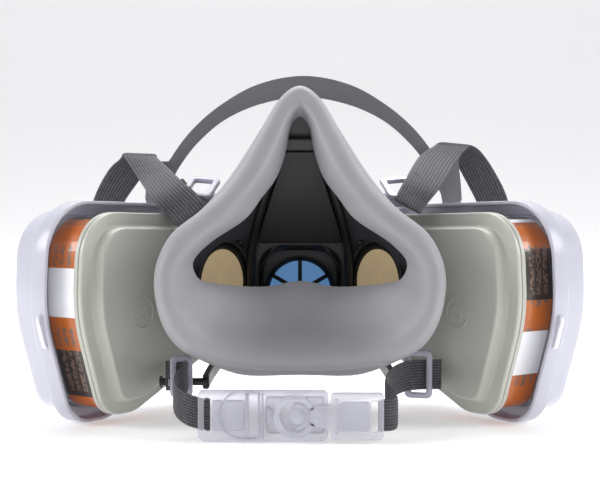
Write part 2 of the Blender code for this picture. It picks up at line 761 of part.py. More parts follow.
def make_upper_strap(label, side):
    """From its buckle up to the cradle's wing, over the wing's edge, and down as a free tail."""
    x, y, z = UPPER_PIN
    near = CRADLE_Y - CRADLE_THICKNESS / 2 - 1.6
    beyond = CRADLE_Y + CRADLE_THICKNESS / 2 + 1.6
    route = [
        ((x, y + 2.6, z + 4.5), (1, 0, 0)),
        ((x + 2.0, y + 6.0, z + 9.0), (1, 0, -0.2)),
        ((x + 10.0, y + 17.5, z + 8.5), (0.8, 0, -0.6)),
        ((x + 20.0, y + 34.0, z + 11.0), (0.8, 0, -0.6)),
        ((WING_X - 1.0, near, 107.0), (1, 0, -0.1)),
        ((WING_X, CRADLE_Y, 110.3), (1, 0, -0.1)),
        ((WING_X + 1.0, beyond, 107.0), (1, 0, 0.1)),
        ((WING_X + 6.0, beyond, 96.0), (1, 0, 0.4)),
        ((WING_X + 12.0, CRADLE_Y - 4.0, 84.0), (1, 0, 0.4)),
        ((WING_X + 16.0, CRADLE_Y - 10.0, 73.0), (1, 0, 0.3)),
        ((WING_X + 18.0, CRADLE_Y - 13.0, 62.0), (1, 0, 0.1)),
    ]
    per_span = 3
    path = smooth_path([(side * a, b, c) for (a, b, c), _ in route], per_span)
    widths = []
    for index in range(len(path)):
        low = min(index // per_span, len(route) - 2)
        mix = index / per_span - low
        blend = Vector(route[low][1]).lerp(Vector(route[low + 1][1]), mix)
        widths.append((side * blend.x, blend.y, blend.z))
    return ribbon("upper_strap_" + label, path, widths, STRAP_WIDTH, STRAP_THICKNESS, WEBBING,
                  MASK)


def make_head_harness():
    make_cradle()
    for label, side in SIDES:
        buckle("upper_buckle_" + label, side, UPPER_PIN, 11.5, CLEAR_PLASTIC)
        make_upper_strap(label, side)


# ---------------------------------------------------------------- neck strap

def make_neck_strap(label, side):
    """From its slider round to its own end of the clasp, standing on edge."""
    x, y, z = LOWER_PIN
    end = (29.5, 0.4) if side > 0 else (34.0, 2.2)
    points = [(x + 10.0, y - 4.0, z + 2.5), (x + 1.0, y - 4.4, z + 2.5),
              (x - 6.0, y - 7.5, z + 1.0), (x - 8.5, y - 17.0, z - 4.0),
              (x - 9.0, y - 29.0, z - 7.5), (end[0] + 2.5, end[1] + 2.0, z - 8.0),
              (end[0], end[1], z - 8.0)]
    path = smooth_path([(side * a, b, c) for a, b, c in points], 2)
    return ribbon("neck_strap_" + label, path, [(0, 0, 1)] * len(path), STRAP_WIDTH,
                  STRAP_THICKNESS, WEBBING, MASK)


def make_clasp():
    depth = 0.0
    outline = rounded_outline([(-38.0, 0.2, 2.0), (9.0, 0.2, 3.0), (9.0, 18.0, 3.0),
                               (-38.0, 18.0, 2.0)])
    window = rounded_outline([(-13.0, 3.5, 2.0), (1.0, 3.5, 2.0), (1.0, 14.5, 2.0),
                              (-13.0, 14.5, 2.0)])
    strap_slot = slot_outline(-34.2, 9.1, 3.2, 12.0, 2)
    place = Matrix.Translation((0.0, depth, 0.0)) @ FACE_UP.to_4x4()
    plate("clasp_plate", outline, [window, strap_slot], 2.2, CLEAR_PLASTIC, MASK, place)
    hook_outline = rounded_outline([(-10.5, 4.8, 3.0), (11.0, 4.8, 1.0), (14.0, 2.0, 1.0),
                                    (31.0, 2.0, 2.0), (31.0, 16.0, 2.0), (14.0, 16.0, 1.0),
                                    (11.0, 13.2, 1.0), (-10.5, 13.2, 3.0)])
    hook_slot = slot_outline(27.5, 9.0, 3.0, 11.0, 2)
    place = Matrix.Translation((0.0, depth - 2.6, 0.0)) @ FACE_UP.to_4x4()
    hook = plate("clasp_hook", hook_outline, [hook_slot], 2.2, CLEAR_PLASTIC, MASK, place)
    knob = disc("clasp_knob", 3.6, -4.0, 1.0, None, MASK, (-6.0, depth - 2.0, 9.0),
                flipped(FACE_OUT), 20)
    return join(hook, knob)


def make_neck_harness():
    make_clasp()
    for label, side in SIDES:
        buckle("neck_slider_" + label, side, LOWER_PIN, 11.5, CLEAR_PLASTIC)
        make_neck_strap(label, side)


# ---------------------------------------------------------------- the mask

make_cartridges()
make_ports()
make_exhalation_seat()
make_exhalation_valve()
make_inner_frame()
make_face_seal()
make_yoke()
make_head_harness()
make_neck_harness()
bpy.context.view_layer.update()
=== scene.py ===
"""The looks of the half-face respirator mask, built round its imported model.

Shapes are given in millimetres in the mask's own frame: X across, Y out of the mask from the
plane of the seal's rearmost edge, and Z up from the surface that it stands on.
"""

import json
import math
import random

import bmesh
import bpy
from mathutils import Matrix, Vector


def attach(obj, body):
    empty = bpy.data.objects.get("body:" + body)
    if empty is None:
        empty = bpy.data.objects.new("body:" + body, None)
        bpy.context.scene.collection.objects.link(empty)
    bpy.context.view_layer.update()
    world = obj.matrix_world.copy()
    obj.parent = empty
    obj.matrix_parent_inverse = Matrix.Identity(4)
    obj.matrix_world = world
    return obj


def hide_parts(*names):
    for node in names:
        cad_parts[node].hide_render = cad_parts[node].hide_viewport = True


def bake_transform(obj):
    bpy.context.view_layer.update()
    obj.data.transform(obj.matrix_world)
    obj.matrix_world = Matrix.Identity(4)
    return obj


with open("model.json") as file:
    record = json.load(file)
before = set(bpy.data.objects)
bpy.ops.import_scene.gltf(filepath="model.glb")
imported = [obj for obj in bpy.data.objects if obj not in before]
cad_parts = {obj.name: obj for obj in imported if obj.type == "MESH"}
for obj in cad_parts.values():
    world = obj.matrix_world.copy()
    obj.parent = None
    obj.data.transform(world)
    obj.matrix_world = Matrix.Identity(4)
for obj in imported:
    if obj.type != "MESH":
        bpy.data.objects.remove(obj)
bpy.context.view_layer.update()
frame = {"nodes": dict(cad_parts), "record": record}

MM = 0.001
JOINTS = {joint["name"]: joint for joint in frame["record"]["behaviour"]["joints"]}
SIDES = (("left", -1), ("right", 1))
UP = Vector((0.0, 0.0, 1.0))

# Places read from the joints
UPPER_PIN_DEPTH = 57.0
REAR_PLANE = JOINTS["head_harness_swing"]["pos_m"][1] / MM - UPPER_PIN_DEPTH
UPPER_PIN = (40.0, UPPER_PIN_DEPTH, JOINTS["head_harness_swing"]["pos_m"][2] / MM)
LOWER_PIN = (47.0, JOINTS["neck_strap_swing"]["pos_m"][1] / MM - REAR_PLANE,
             JOINTS["neck_strap_swing"]["pos_m"][2] / MM)
PORT_X, PORT_Y, PORT_Z = JOINTS["cartridge_right_twist"]["pos_m"]
PORT_CENTRE = (PORT_X / MM, PORT_Y / MM - REAR_PLANE, PORT_Z / MM)
PORT_AXIS = Vector(JOINTS["cartridge_right_twist"]["axis"]).normalized()
EXHALE_CENTRE = (0.0, 86.0, 50.0)

# Sizes
CASE_CORNERS = [              # along the case, height from the port's axis, corner radius
    (-65.0, 30.5, 19.0),
    (-67.5, -10.0, 60.0),
    (-54.0, -50.5, 12.0),
    (-37.0, -50.5, 20.0),
    (33.0, -22.0, 14.0),
    (33.0, 27.5, 14.0),
]
STRAP_WIDTH = 12.0
STRAP_THICKNESS = 1.3
STRAP_RIBS = 11
RIB_COLUMNS = 6               # mesh columns in each rib of the webbing
STITCHES_PER_MM = 1.3
GLOSS_SPREAD = 0.06           # how far a material's roughness wanders either way
TUB_END = 26.5
RETAINER_LIP = 20.5
RETAINER_END = 44.5
BUCKLE_WIDTH = 15.0
CRADLE_DEPTH = 112.0
CLASP_HEIGHT = 9.9            # of the middle of the hook
FINE_STEPS = 96               # sides of the turned pieces that are seen close up


# ---- materials

def new_material(name, colour, roughness):
    """A Principled material, its node tree and its shader."""
    material = bpy.data.materials.new(name)
    material.use_nodes = True
    shader = material.node_tree.nodes["Principled BSDF"]
    adjust(shader, {"Base Color": (*colour, 1.0), "Roughness": roughness})
    return material, material.node_tree, shader


def adjust(node, values):
    for name, value in values.items():
        node.inputs[name].default_value = value


def noise(tree, scale, detail=4.0, roughness=0.55):
    coordinates = tree.nodes.new("ShaderNodeTexCoord")
    texture = tree.nodes.new("ShaderNodeTexNoise")
    adjust(texture, {"Scale": scale, "Detail": detail, "Roughness": roughness})
    tree.links.new(coordinates.outputs["Object"], texture.inputs["Vector"])
    return texture.outputs["Fac"]


def ramp(tree, factor, low, high, low_place=0.3, high_place=0.7):
    node = tree.nodes.new("ShaderNodeValToRGB")
    for stop, colour, position in zip(node.color_ramp.elements, (low, high),
                                      (low_place, high_place)):
        stop.position = position
        stop.color = (*colour, 1.0)
    tree.links.new(factor, node.inputs["Fac"])
    return node.outputs["Color"]


def bump(tree, shader, height, strength, distance):
    node = tree.nodes.new("ShaderNodeBump")
    adjust(node, {"Strength": strength, "Distance": distance})
    tree.links.new(height, node.inputs["Height"])
    tree.links.new(node.outputs["Normal"], shader.inputs["Normal"])


def remap(tree, value, from_limits=(0.0, 1.0), to_limits=(0.0, 1.0)):
    node = tree.nodes.new("ShaderNodeMapRange")
    adjust(node, {"From Min": from_limits[0], "From Max": from_limits[1],
                  "To Min": to_limits[0], "To Max": to_limits[1]})
    tree.links.new(value, node.inputs["Value"])
    return node.outputs["Result"]


def combine(tree, operation, *values):
    """A math node fed with sockets and plain numbers."""
    node = tree.nodes.new("ShaderNodeMath")
    node.operation = operation
    for socket, value in zip(node.inputs, values):
        if isinstance(value, float):
            socket.default_value = value
        else:
            tree.links.new(value, socket)
    return node.outputs["Value"]


def wave(tree, value, periods):
    """A wave from 0, at whole periods, to 1 between them."""
    turn = combine(tree, "MULTIPLY", value, 2 * math.pi * periods)
    return remap(tree, combine(tree, "COSINE", turn), (1.0, -1.0))


def tint(colour, amount):
    return tuple(min(1.0, channel * amount) for channel in colour)


def moulded(name, colour, roughness, grain=9000.0, grain_depth=0.00002, mottle=0.06,
            further=()):
    """Moulded plastic or rubber: slight mottling, uneven gloss and a fine grain."""
    material, tree, shader = new_material(name, colour, roughness)
    cloudy = ramp(tree, noise(tree, 60.0), tint(colour, 1 - mottle), tint(colour, 1 + mottle))
    tree.links.new(cloudy, shader.inputs["Base Color"])
    gloss = remap(tree, noise(tree, 140.0, 6.0),
                  to_limits=(roughness - GLOSS_SPREAD, roughness + GLOSS_SPREAD))
    tree.links.new(gloss, shader.inputs["Roughness"])
    bump(tree, shader, noise(tree, grain, 2.0), 0.35, grain_depth)
    adjust(shader, dict(further))
    return material


def coarse_plastic(name, colour, roughness, grain=3500.0, mottle=0.06):
    return moulded(name, colour, roughness, grain, 0.00003, mottle)


def elastomer(name, colour):
    return moulded(name, colour, 0.44, 5200.0, mottle=0.03, further={
        "Subsurface Weight": 0.08, "Subsurface Radius": (0.004, 0.004, 0.004),
        "Specular IOR Level": 0.34})


def translucent_rubber(name, colour, glow):
    """Thin rubber; a weak glow stands for the light that comes through it from behind."""
    return moulded(name, colour, 0.34, mottle=0.05, further={
        "Emission Color": (*colour, 1.0), "Emission Strength": glow})


def clear_plastic(name, colour, roughness, transmission):
    return moulded(name, colour, roughness, 2500.0, 0.00001, 0.02, {
        "Transmission Weight": transmission, "IOR": 1.42})


def elastic_webbing(name, groove, rib):
    """Knitted elastic: light ribs along the band, crossed by fine stitches. The colour follows the
    relief, with painted light on the crests and painted shade in the grooves.
    """
    material, tree, shader = new_material(name, groove, 0.8)
    links = tree.links
    uv = tree.nodes.new("ShaderNodeUVMap")
    parts = tree.nodes.new("ShaderNodeSeparateXYZ")
    links.new(uv.outputs["UV"], parts.inputs["Vector"])
    # Lighter where the ribs and stitches stand up: painted light on their crests, painted shade in
    # the grooves between them.
    broad = combine(tree, "POWER", wave(tree, parts.outputs["X"], STRAP_RIBS), 0.6)
    stitches = wave(tree, parts.outputs["Y"], STITCHES_PER_MM)
    ribs = combine(tree, "MULTIPLY", broad, remap(tree, stitches, to_limits=(0.55, 1.0)))
    colour = tree.nodes.new("ShaderNodeMix")
    colour.data_type = "RGBA"
    links.new(ribs, colour.inputs["Factor"])
    links.new(ramp(tree, noise(tree, 900.0, 6.0, 0.7), tint(groove, 0.7), tint(groove, 1.3)),
              colour.inputs["A"])
    links.new(ramp(tree, noise(tree, 700.0, 6.0, 0.7), tint(rib, 0.6), tint(rib, 1.5)),
              colour.inputs["B"])
    links.new(colour.outputs["Result"], shader.inputs["Base Color"])
    adjust(shader, {"Sheen Weight": 0.2, "Sheen Roughness": 0.4})
    height = combine(tree, "MULTIPLY_ADD", stitches, 0.5, noise(tree, 2600.0, 3.0))
    bump(tree, shader, height, 0.6, 0.00012)
    return material


def printed_film(name, colour):
    return moulded(name, colour, 0.3, 1500.0, 0.000006, 0.04, {"Coat Weight": 0.35})


def felt_material(name, colour):
    material, tree, shader = new_material(name, colour, 0.95)
    fibres = noise(tree, 700.0, 10.0, 0.8)
    tree.links.new(ramp(tree, fibres, tint(colour, 0.8), tint(colour, 1.1)),
                   shader.inputs["Base Color"])
    adjust(shader, {"Sheen Weight": 0.4})
    bump(tree, shader, fibres, 0.8, 0.0003)
    return material


def granule_material(name, colour):
    material, tree, shader = new_material(name, colour, 0.85)
    coordinates = tree.nodes.new("ShaderNodeTexCoord")
    grains = tree.nodes.new("ShaderNodeTexVoronoi")
    adjust(grains, {"Scale": 900.0})
    tree.links.new(coordinates.outputs["Object"], grains.inputs["Vector"])
    tree.links.new(ramp(tree, grains.outputs["Distance"], tint(colour, 2.4), colour, 0.0, 0.6),
                   shader.inputs["Base Color"])
    bump(tree, shader, grains.outputs["Distance"], 1.0, 0.0006)
    return material


SEAL_GREY = elastomer("seal_grey", (0.33, 0.33, 0.345))
# This material and the three after it are one black plastic; the three lighter ones are copies of
# it with painted light, for the panels and walls of the inner frame that catch light.
INNER_BLACK = coarse_plastic("inner_black", (0.020, 0.020, 0.022), 0.42)
PANEL_BLACK_LIT = coarse_plastic("panel_black_painted_light", (0.085, 0.085, 0.092), 0.42)
FRONT_PANEL_BLACK_LIT = coarse_plastic("front_panel_black_painted_light", (0.050, 0.048, 0.054), 0.45)
CHEEK_BLACK_LIT = coarse_plastic("cheek_black_painted_light", (0.075, 0.075, 0.08), 0.40)
CASE_OLIVE = coarse_plastic("case_olive", (0.50, 0.505, 0.45), 0.32, 4200.0, 0.02)
RETAINER_CLEAR = clear_plastic("retainer_clear", (0.73, 0.73, 0.82), 0.22, 0.30)
BUCKLE_CLEAR = clear_plastic("buckle_clear", (0.86, 0.86, 0.93), 0.12, 0.66)
RING_CLEAR = clear_plastic("ring_clear", (0.56, 0.56, 0.66), 0.20, 0.30)
CRADLE_GREY = moulded("cradle_grey", (0.15, 0.15, 0.16), 0.42)
STRAP_DARK = elastic_webbing("strap_dark", (0.026, 0.026, 0.030), (0.115, 0.112, 0.124))
LABEL_ORANGE = printed_film("label_orange", (0.50, 0.125, 0.018))
LABEL_WHITE = printed_film("label_white", (0.88, 0.89, 0.92))
LABEL_DARK = printed_film("label_dark", (0.035, 0.025, 0.020))
LABEL_PRINT = printed_film("label_print", (0.19, 0.12, 0.09))
VALVE_BLUE = translucent_rubber("valve_blue", (0.18, 0.42, 0.82), 0.38)
VALVE_AMBER = translucent_rubber("valve_amber", (0.78, 0.60, 0.36), 0.30)
GASKET_BLACK = moulded("gasket_black", (0.03, 0.03, 0.03), 0.6)
FELT_WHITE = felt_material("felt_white", (0.80, 0.80, 0.79))
CARBON_BLACK = granule_material("carbon_black", (0.012, 0.012, 0.012))

# A material with the body and the slot of the pieces that share it
BLACK_PART = (INNER_BLACK, "root", "black_plastic")
PANEL_PART = (PANEL_BLACK_LIT, "root", "black_plastic")
CHEEK_PART = (CHEEK_BLACK_LIT, "root", "black_plastic")


# ---- mesh helpers

def place(x, y, z):
    """A point of the mask in metres, in the row's frame."""
    return Vector((x, y + REAR_PLANE, z)) * MM


MASK_PLACE = Matrix.Translation(place(0, 0, 0)) @ Matrix.Scale(MM, 4)


def port_place(side, height=0.0):
    """Local Z runs out along the port's axis, local X along the case and local Y is up."""
    outward = Vector((side * PORT_AXIS.x, PORT_AXIS.y, 0.0))
    along = UP.cross(outward)
    turn = Matrix((along, UP, outward)).transposed().to_4x4()
    centre = place(side * PORT_CENTRE[0], PORT_CENTRE[1], PORT_CENTRE[2])
    return (Matrix.Translation(centre) @ turn @ Matrix.Scale(MM, 4)
            @ Matrix.Translation((0, 0, height)))


FACING = Matrix(((1, 0, 0), (0, 0, -1), (0, 1, 0))).to_4x4()     # local Z at the wearer, Y up
OUTWARD = Matrix(((1, 0, 0), (0, 0, 1), (0, -1, 0))).to_4x4()    # local Z out of the mask
SIDEWAYS = Matrix(((0, 0, 1), (1, 0, 0), (0, 1, 0))).to_4x4()    # local Z along +X


def placed(turn, x, y, z):
    return Matrix.Translation(place(x, y, z)) @ turn @ Matrix.Scale(MM, 4)


def add_object(name, data):
    obj = bpy.data.objects.new(name, data)
    bpy.context.scene.collection.objects.link(obj)
    return obj


def mesh_from(bm, name):
    """The finished mesh of bm, with its faces turned outward."""
    bmesh.ops.recalc_face_normals(bm, faces=bm.faces)
    mesh = bpy.data.meshes.new(name)
    bm.to_mesh(mesh)
    bm.free()
    return mesh


def finish_piece(name, bm, materials, body, smooth_degrees=40.0):
    mesh = mesh_from(bm, name)
    for material in materials:
        mesh.materials.append(material)
    mesh.shade_smooth()
    mesh.set_sharp_from_angle(angle=math.radians(smooth_degrees))
    obj = add_object(name, mesh)
    if body:
        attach(obj, body)
    return obj


def bridge(bm, rows, closed=True, joined=False, capped=False):
    """Faces between rows of vertices. A closed row runs round, joined rows end at the first
    one, and capped ones have a face over each end."""
    faces = []
    for row, next_row in zip(rows, rows[1:] + (rows[:1] if joined else [])):
        for index in range(len(row) if closed else len(row) - 1):
            after = (index + 1) % len(row)
            faces.append(bm.faces.new((row[index], row[after], next_row[after],
                                       next_row[index])))
    if capped:
        faces += [bm.faces.new(rows[0]), bm.faces.new(rows[-1])]
    return faces


def corner_arc(before, corner, after, steps):
    """Points of the arc that rounds a corner (x, y, radius) between its two neighbours."""
    here = Vector(corner[:2])
    radius = corner[2]
    back = Vector(before[:2]) - here
    ahead = Vector(after[:2]) - here
    limit = 0.49 * min(back.length, ahead.length)
    back.normalize()
    ahead.normalize()
    half_angle = back.angle(ahead) / 2.0
    if radius <= 0.0 or half_angle > math.radians(89.0):
        return [(here.x, here.y)]
    reach = min(radius / math.tan(half_angle), limit)
    centre = here + (back + ahead).normalized() * (reach / math.cos(half_angle))
    start = here + back * reach - centre
    sweep = start.angle_signed(here + ahead * reach - centre)
    return [(centre + Matrix.Rotation(-sweep * step / steps, 2) @ start)[:]
            for step in range(steps + 1)]


def rounded_outline(corners, steps=8):
    """Points round a polygon whose corners (x, y, radius) are replaced by arcs."""
    points = []
    for before, corner, after in zip(corners[-1:] + corners, corners, corners[1:] + corners[:1]):
        points += corner_arc(before, corner, after, steps)
    return points


def soft_profile(corners, closed, steps=3):
    """A profile (a, b, radius) with rounded corners; an open one keeps its two ends."""
    if closed:
        return rounded_outline(corners, steps)
    points = [corners[0][:2]]
    for before, corner, after in zip(corners, corners[1:], corners[2:]):
        points += corner_arc(before, corner, after, steps)
    return points + [corners[-1][:2]]


def offset_corners(corners, distance):
    """The same polygon with each edge moved outward by distance."""
    places = [Vector(corner[:2]) for corner in corners]
    edges = list(zip(places, places[1:] + places[:1]))
    winding = math.copysign(1.0, sum(start.cross(end) for start, end in edges))
    lines = []
    for start, end in edges:
        along = (end - start).normalized()
        lines.append((start + Vector((along.y, -along.x)) * winding * distance, along))
    moved = []
    for corner, (point, along), (other, other_along) in zip(corners, lines[-1:] + lines, lines):
        reach = (other - point).cross(other_along) / along.cross(other_along)
        moved.append((*(point + along * reach), max(corner[2] + distance, 1.0)))
    return moved


def loft(name, rings, matrix, material, body, slot, closed=False, smooth_degrees=40.0):
    """Joins rings of equal point count; capped at both ends, or closed round on itself."""
    bm = bmesh.new()
    rows = [[bm.verts.new(matrix @ Vector(point)) for point in ring] for ring in rings]
    bridge(bm, rows, joined=closed, capped=not closed)
    return finish_piece(name, bm, [material], body, smooth_degrees)


def turned(name, profile, matrix, material, body, slot, steps=72, closed=True):
    """A profile (radius, height, rounding) turned about the local Z axis."""
    points = soft_profile(profile, closed)
    bm = bmesh.new()
    rows = []
    for step in range(steps):
        angle = 2.0 * math.pi * step / steps
        rows.append([bm.verts.new(matrix @ Vector((radius * math.cos(angle),
                                                   radius * math.sin(angle), height)))
                     for radius, height in points])
    bridge(bm, rows, closed, joined=True)
    bmesh.ops.remove_doubles(bm, verts=bm.verts, dist=1e-7)
    return finish_piece(name, bm, [material], body)


def flat_plate(name, outline, holes, thickness, edge, matrix, material, body, slot):
    """A flat outline with holes and rounded edges, made from a filled 2D curve."""
    curve = bpy.data.curves.new(name, "CURVE")
    curve.dimensions = "2D"
    curve.fill_mode = "BOTH"
    curve.extrude = thickness / 2.0 - edge
    curve.bevel_depth = edge
    curve.bevel_resolution = 2
    curve.offset = -edge
    for loop in [outline] + holes:
        spline = curve.splines.new("POLY")
        spline.points.add(len(loop) - 1)
        for point, (x, y) in zip(spline.points, loop):
            point.co = (x, y, 0.0, 1.0)
        spline.use_cyclic_u = True
    flat = add_object(name + "_outline", curve)
    bpy.context.view_layer.update()
    mesh = bpy.data.meshes.new_from_object(
        flat.evaluated_get(bpy.context.evaluated_depsgraph_get()))
    bpy.data.objects.remove(flat, do_unlink=True)
    bpy.data.curves.remove(curve)
    bm = bmesh.new()
    bm.from_mesh(mesh)
    bpy.data.meshes.remove(mesh)
    bmesh.ops.remove_doubles(bm, verts=bm.verts, dist=0.0005)
    bm.transform(matrix)
    return finish_piece(name, bm, [material], body, 30.0)


def slot_outline(centre_x, centre_y, length, width):
    """A slot whose short ends are round."""
    half_x = length / 2.0
    half_y = width / 2.0
    return rectangle(centre_x - half_x, centre_y - half_y, centre_x + half_x,
                     centre_y + half_y, 0.98 * min(half_x, half_y), 8)


def rectangle(low_x, low_y, high_x, high_y, radius, steps=5):
    return rounded_outline([(low_x, low_y, radius), (high_x, low_y, radius),
                            (high_x, high_y, radius), (low_x, high_y, radius)], steps)


def trapezium(low, high, steps=5):
    """An outline symmetric about X = 0, from its two level edges (half width, height, radius)."""
    return rounded_outline([(-low[0], *low[1:]), low, high, (-high[0], *high[1:])], steps)


def arc(centre_x, centre_y, radius, start, end, steps=24):
    points = []
    for step in range(steps + 1):
        angle = math.radians(start + (end - start) * step / steps)
        points.append((centre_x + radius * math.cos(angle), centre_y + radius * math.sin(angle)))
    return points


def catmull(four, t):
    before, start, end, after = four
    return 0.5 * (2 * start + (end - before) * t
                  + (2 * before - 5 * start + 4 * end - after) * t ** 2
                  + (3 * start - before - 3 * end + after) * t ** 3)


def smooth_path(points, per_span):
    """Points along a Catmull-Rom curve through the given points."""
    path = [Vector(point) for point in points]
    padded = [path[0] * 2 - path[1]] + path + [path[-1] * 2 - path[-2]]
    return [catmull(padded[index:index + 4], step / per_span)
            for index in range(len(path) - 1) for step in range(per_span)] + path[-1:]


def smooth_loop(points, per_span):
    """Points along a closed Catmull-Rom curve."""
    padded = points[-1:] + points + points[:2]
    return [catmull(padded[index:index + 4], step / per_span)
            for index in range(len(points)) for step in range(per_span)]


def smooth_outline(points, per_span):
    path = smooth_path([(x, 0.0, z) for x, z in points], per_span)
    return [(point.x, point.z) for point in path]


def direction_at(path, index):
    return (path[min(index + 1, len(path) - 1)] - path[max(index - 1, 0)]).normalized()


def band(name, edges, body):
    """Ribbed elastic webbing between two edge curves, given as pairs of points."""
    first = smooth_path([edge for edge, _ in edges], 10)
    second = smooth_path([edge for _, edge in edges], 10)
    middle = [(a + b) / 2 for a, b in zip(first, second)]
    columns = STRAP_RIBS * RIB_COLUMNS
    bm = bmesh.new()
    uv = bm.loops.layers.uv.new("UVMap")
    rows = []
    places = {}
    length = 0.0
    for index, here in enumerate(middle):
        span = second[index] - first[index]
        out = direction_at(middle, index).cross(span).normalized()
        if index:
            length += (here - middle[index - 1]).length
        row = []
        for turn in (1, -1):
            for step in range(columns + 1):
                fraction = step / columns if turn > 0 else 1.0 - step / columns
                rib = 0.5 - 0.5 * math.cos(2 * math.pi * STRAP_RIBS * fraction)
                edge = min(1.0, 8.0 * min(fraction, 1.0 - fraction) + 0.3)
                height = turn * STRAP_THICKNESS * (0.28 + 0.22 * rib) * edge
                vert = bm.verts.new(MASK_PLACE @ (first[index] + span * fraction + out * height))
                places[vert] = (fraction, length)
                row.append(vert)
        rows.append(row)
    for face in bridge(bm, rows, capped=True):
        for loop in face.loops:
            loop[uv].uv = places[loop.vert]
    return finish_piece(name, bm, [STRAP_DARK], body, 60.0)


# ---- face seal

# Half of the seal, from the nose to the chin: the outer silhouette, the crest that touches
# the face, and the inner lip, each as (half width, depth, height)
SEAL_STATIONS = [
    ((0.0, 44.0, 134.6), (0.0, 37.0, 131.0), (0.0, 40.0, 123.8)),
    ((7.4, 41.0, 129.6), (5.4, 34.0, 126.0), (4.4, 37.5, 119.4)),
    ((14.2, 32.0, 116.6), (10.8, 26.5, 113.6), (6.6, 34.0, 108.4)),
    ((22.0, 23.5, 102.0), (18.0, 17.8, 100.0), (10.0, 28.5, 98.8)),
    ((28.4, 17.3, 93.0), (24.6, 11.5, 91.0), (15.6, 23.5, 91.0)),
    ((36.6, 11.2, 85.2), (33.0, 5.5, 82.0), (21.8, 18.5, 83.0)),
    ((47.6, 8.0, 76.6), (43.0, 2.0, 73.0), (34.6, 13.5, 74.4)),
    ((53.2, 6.0, 65.0), (48.6, 0.5, 63.5), (41.4, 12.5, 66.6)),
    ((53.6, 7.0, 52.5), (48.6, 0.0, 53.0), (39.2, 15.5, 59.2)),
    ((49.6, 9.0, 39.6), (44.5, 1.5, 43.4), (32.8, 20.0, 57.2)),
    ((40.6, 12.0, 31.0), (36.0, 4.5, 35.4), (23.6, 25.0, 55.8)),
    ((22.0, 16.0, 26.0), (20.0, 8.5, 30.0), (12.5, 29.0, 55.4)),
    ((0.0, 18.0, 25.2), (0.0, 10.5, 29.0), (0.0, 31.0, 57.4)),
]
SEAL_CENTRE = Vector((0.0, 62.0))     # the point in X and Z that the sections fan out from

# The inner frame's sections, from the rim forward: depth at the height of the exhalation valve,
# lean of the section's plane, nose height, cheek half width and height, chin half width and height
FRAME_SECTIONS = [
    (38.0, 0.22, 132.0, 50.5, 56.0, 32.0, 26.0),
    (46.0, 0.20, 128.5, 46.5, 57.0, 31.0, 27.0),
    (56.0, 0.12, 123.0, 40.5, 57.0, 29.0, 28.0),
    (70.0, 0.04, 114.0, 32.0, 58.0, 27.0, 29.0),
    (82.0, 0.0, 99.0, 24.0, 58.0, 23.5, 30.5),
    (88.0, 0.0, 87.0, 20.7, 58.0, 20.7, 32.0),
]


def frame_corners(section, offset):
    _, _, top, half_width, cheek, half_chin, chin = section
    return offset_corners([(0.0, top, 8.0), (-half_width, cheek, 13.0), (-half_chin, chin, 12.0),
                           (half_chin, chin, 12.0), (half_width, cheek, 13.0)], offset)


def section_depth(section, height):
    return section[0] + section[1] * (height - EXHALE_CENTRE[2])


def outline_point(outline, centre, direction):
    """Where a ray from centre meets a closed outline in the X-Z plane."""
    for start, end in zip(outline, outline[1:] + outline[:1]):
        start = Vector(start) - centre
        edge = Vector(end) - centre - start
        cross = direction.cross(edge)
        if abs(cross) < 1e-9:
            continue
        distance = start.cross(edge) / cross
        if distance > 0 and -1e-6 <= start.cross(direction) / cross <= 1 + 1e-6:
            return centre + direction * distance


def make_face_seal():
    stations = list(SEAL_STATIONS)
    for station in reversed(SEAL_STATIONS[1:-1]):
        stations.append(tuple((-x, y, z) for x, y, z in station))
    rim = FRAME_SECTIONS[0]
    collar = rounded_outline(frame_corners(rim, 4.0), 12)
    grip = rounded_outline(frame_corners(rim, 1.0), 12)
    columns = []
    for station in stations:
        outer, crest, inner = [Vector(point) for point in station]
        direction = (Vector((outer.x, outer.z)) - SEAL_CENTRE).normalized()
        flat = outline_point(collar, SEAL_CENTRE, direction)
        rear = section_depth(rim, flat.y)
        near_frame = outline_point(grip, SEAL_CENTRE, direction)
        hem = Vector((near_frame.x, rear + 6.8, near_frame.y))
        front = Vector((flat.x, rear + 6.5, flat.y))
        bead = front + Vector((direction.x, -1.2, direction.y)) * 0.7
        waist = Vector((flat.x, rear - 1.0, flat.y))
        swell = waist.lerp(outer, 0.55) + Vector((direction.x, 0.0, direction.y)) * 1.0
        roll = crest.lerp(outer, 0.5) + Vector((direction.x, -1.6, direction.y)) * 0.9
        chin = max(0.0, -direction.y)
        middle = crest.lerp(inner, 0.42) - Vector((0.0, 2.4 - 5.2 * chin, 0.0))
        near_lip = crest.lerp(inner, 0.82) - Vector((0.0, 1.2 - 1.4 * chin, 0.0))
        columns.append([hem, front, bead, waist, swell, outer + Vector((0, 2, 0)), roll, crest,
                        middle, near_lip, inner])
    rows = [smooth_loop(list(level), 5) for level in zip(*columns)]
    profiles = [smooth_path([row[index] for row in rows], 4) for index in range(len(rows[0]))]
    bm = bmesh.new()
    grid = [[bm.verts.new(MASK_PLACE @ point) for point in profile] for profile in profiles]
    bridge(bm, grid, closed=False, joined=True)
    seal = finish_piece("seal_skin", bm, [SEAL_GREY], "root", 180.0)
    skin = seal.modifiers.new("skin", "SOLIDIFY")
    skin.thickness = 2.0 * MM
    skin.offset = 0.0
    skin.use_even_offset = True
    bevel = seal.modifiers.new("lip", "BEVEL")
    bevel.width = 0.7 * MM
    bevel.segments = 3
    bevel.limit_method = "ANGLE"
    bevel.angle_limit = math.radians(50)
    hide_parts("face_seal")


# ---- inner frame

def frame_ring(section, offset):
    outline = rounded_outline(frame_corners(section, offset), 10)
    return [(x, section_depth(section, z), z) for x, z in outline]


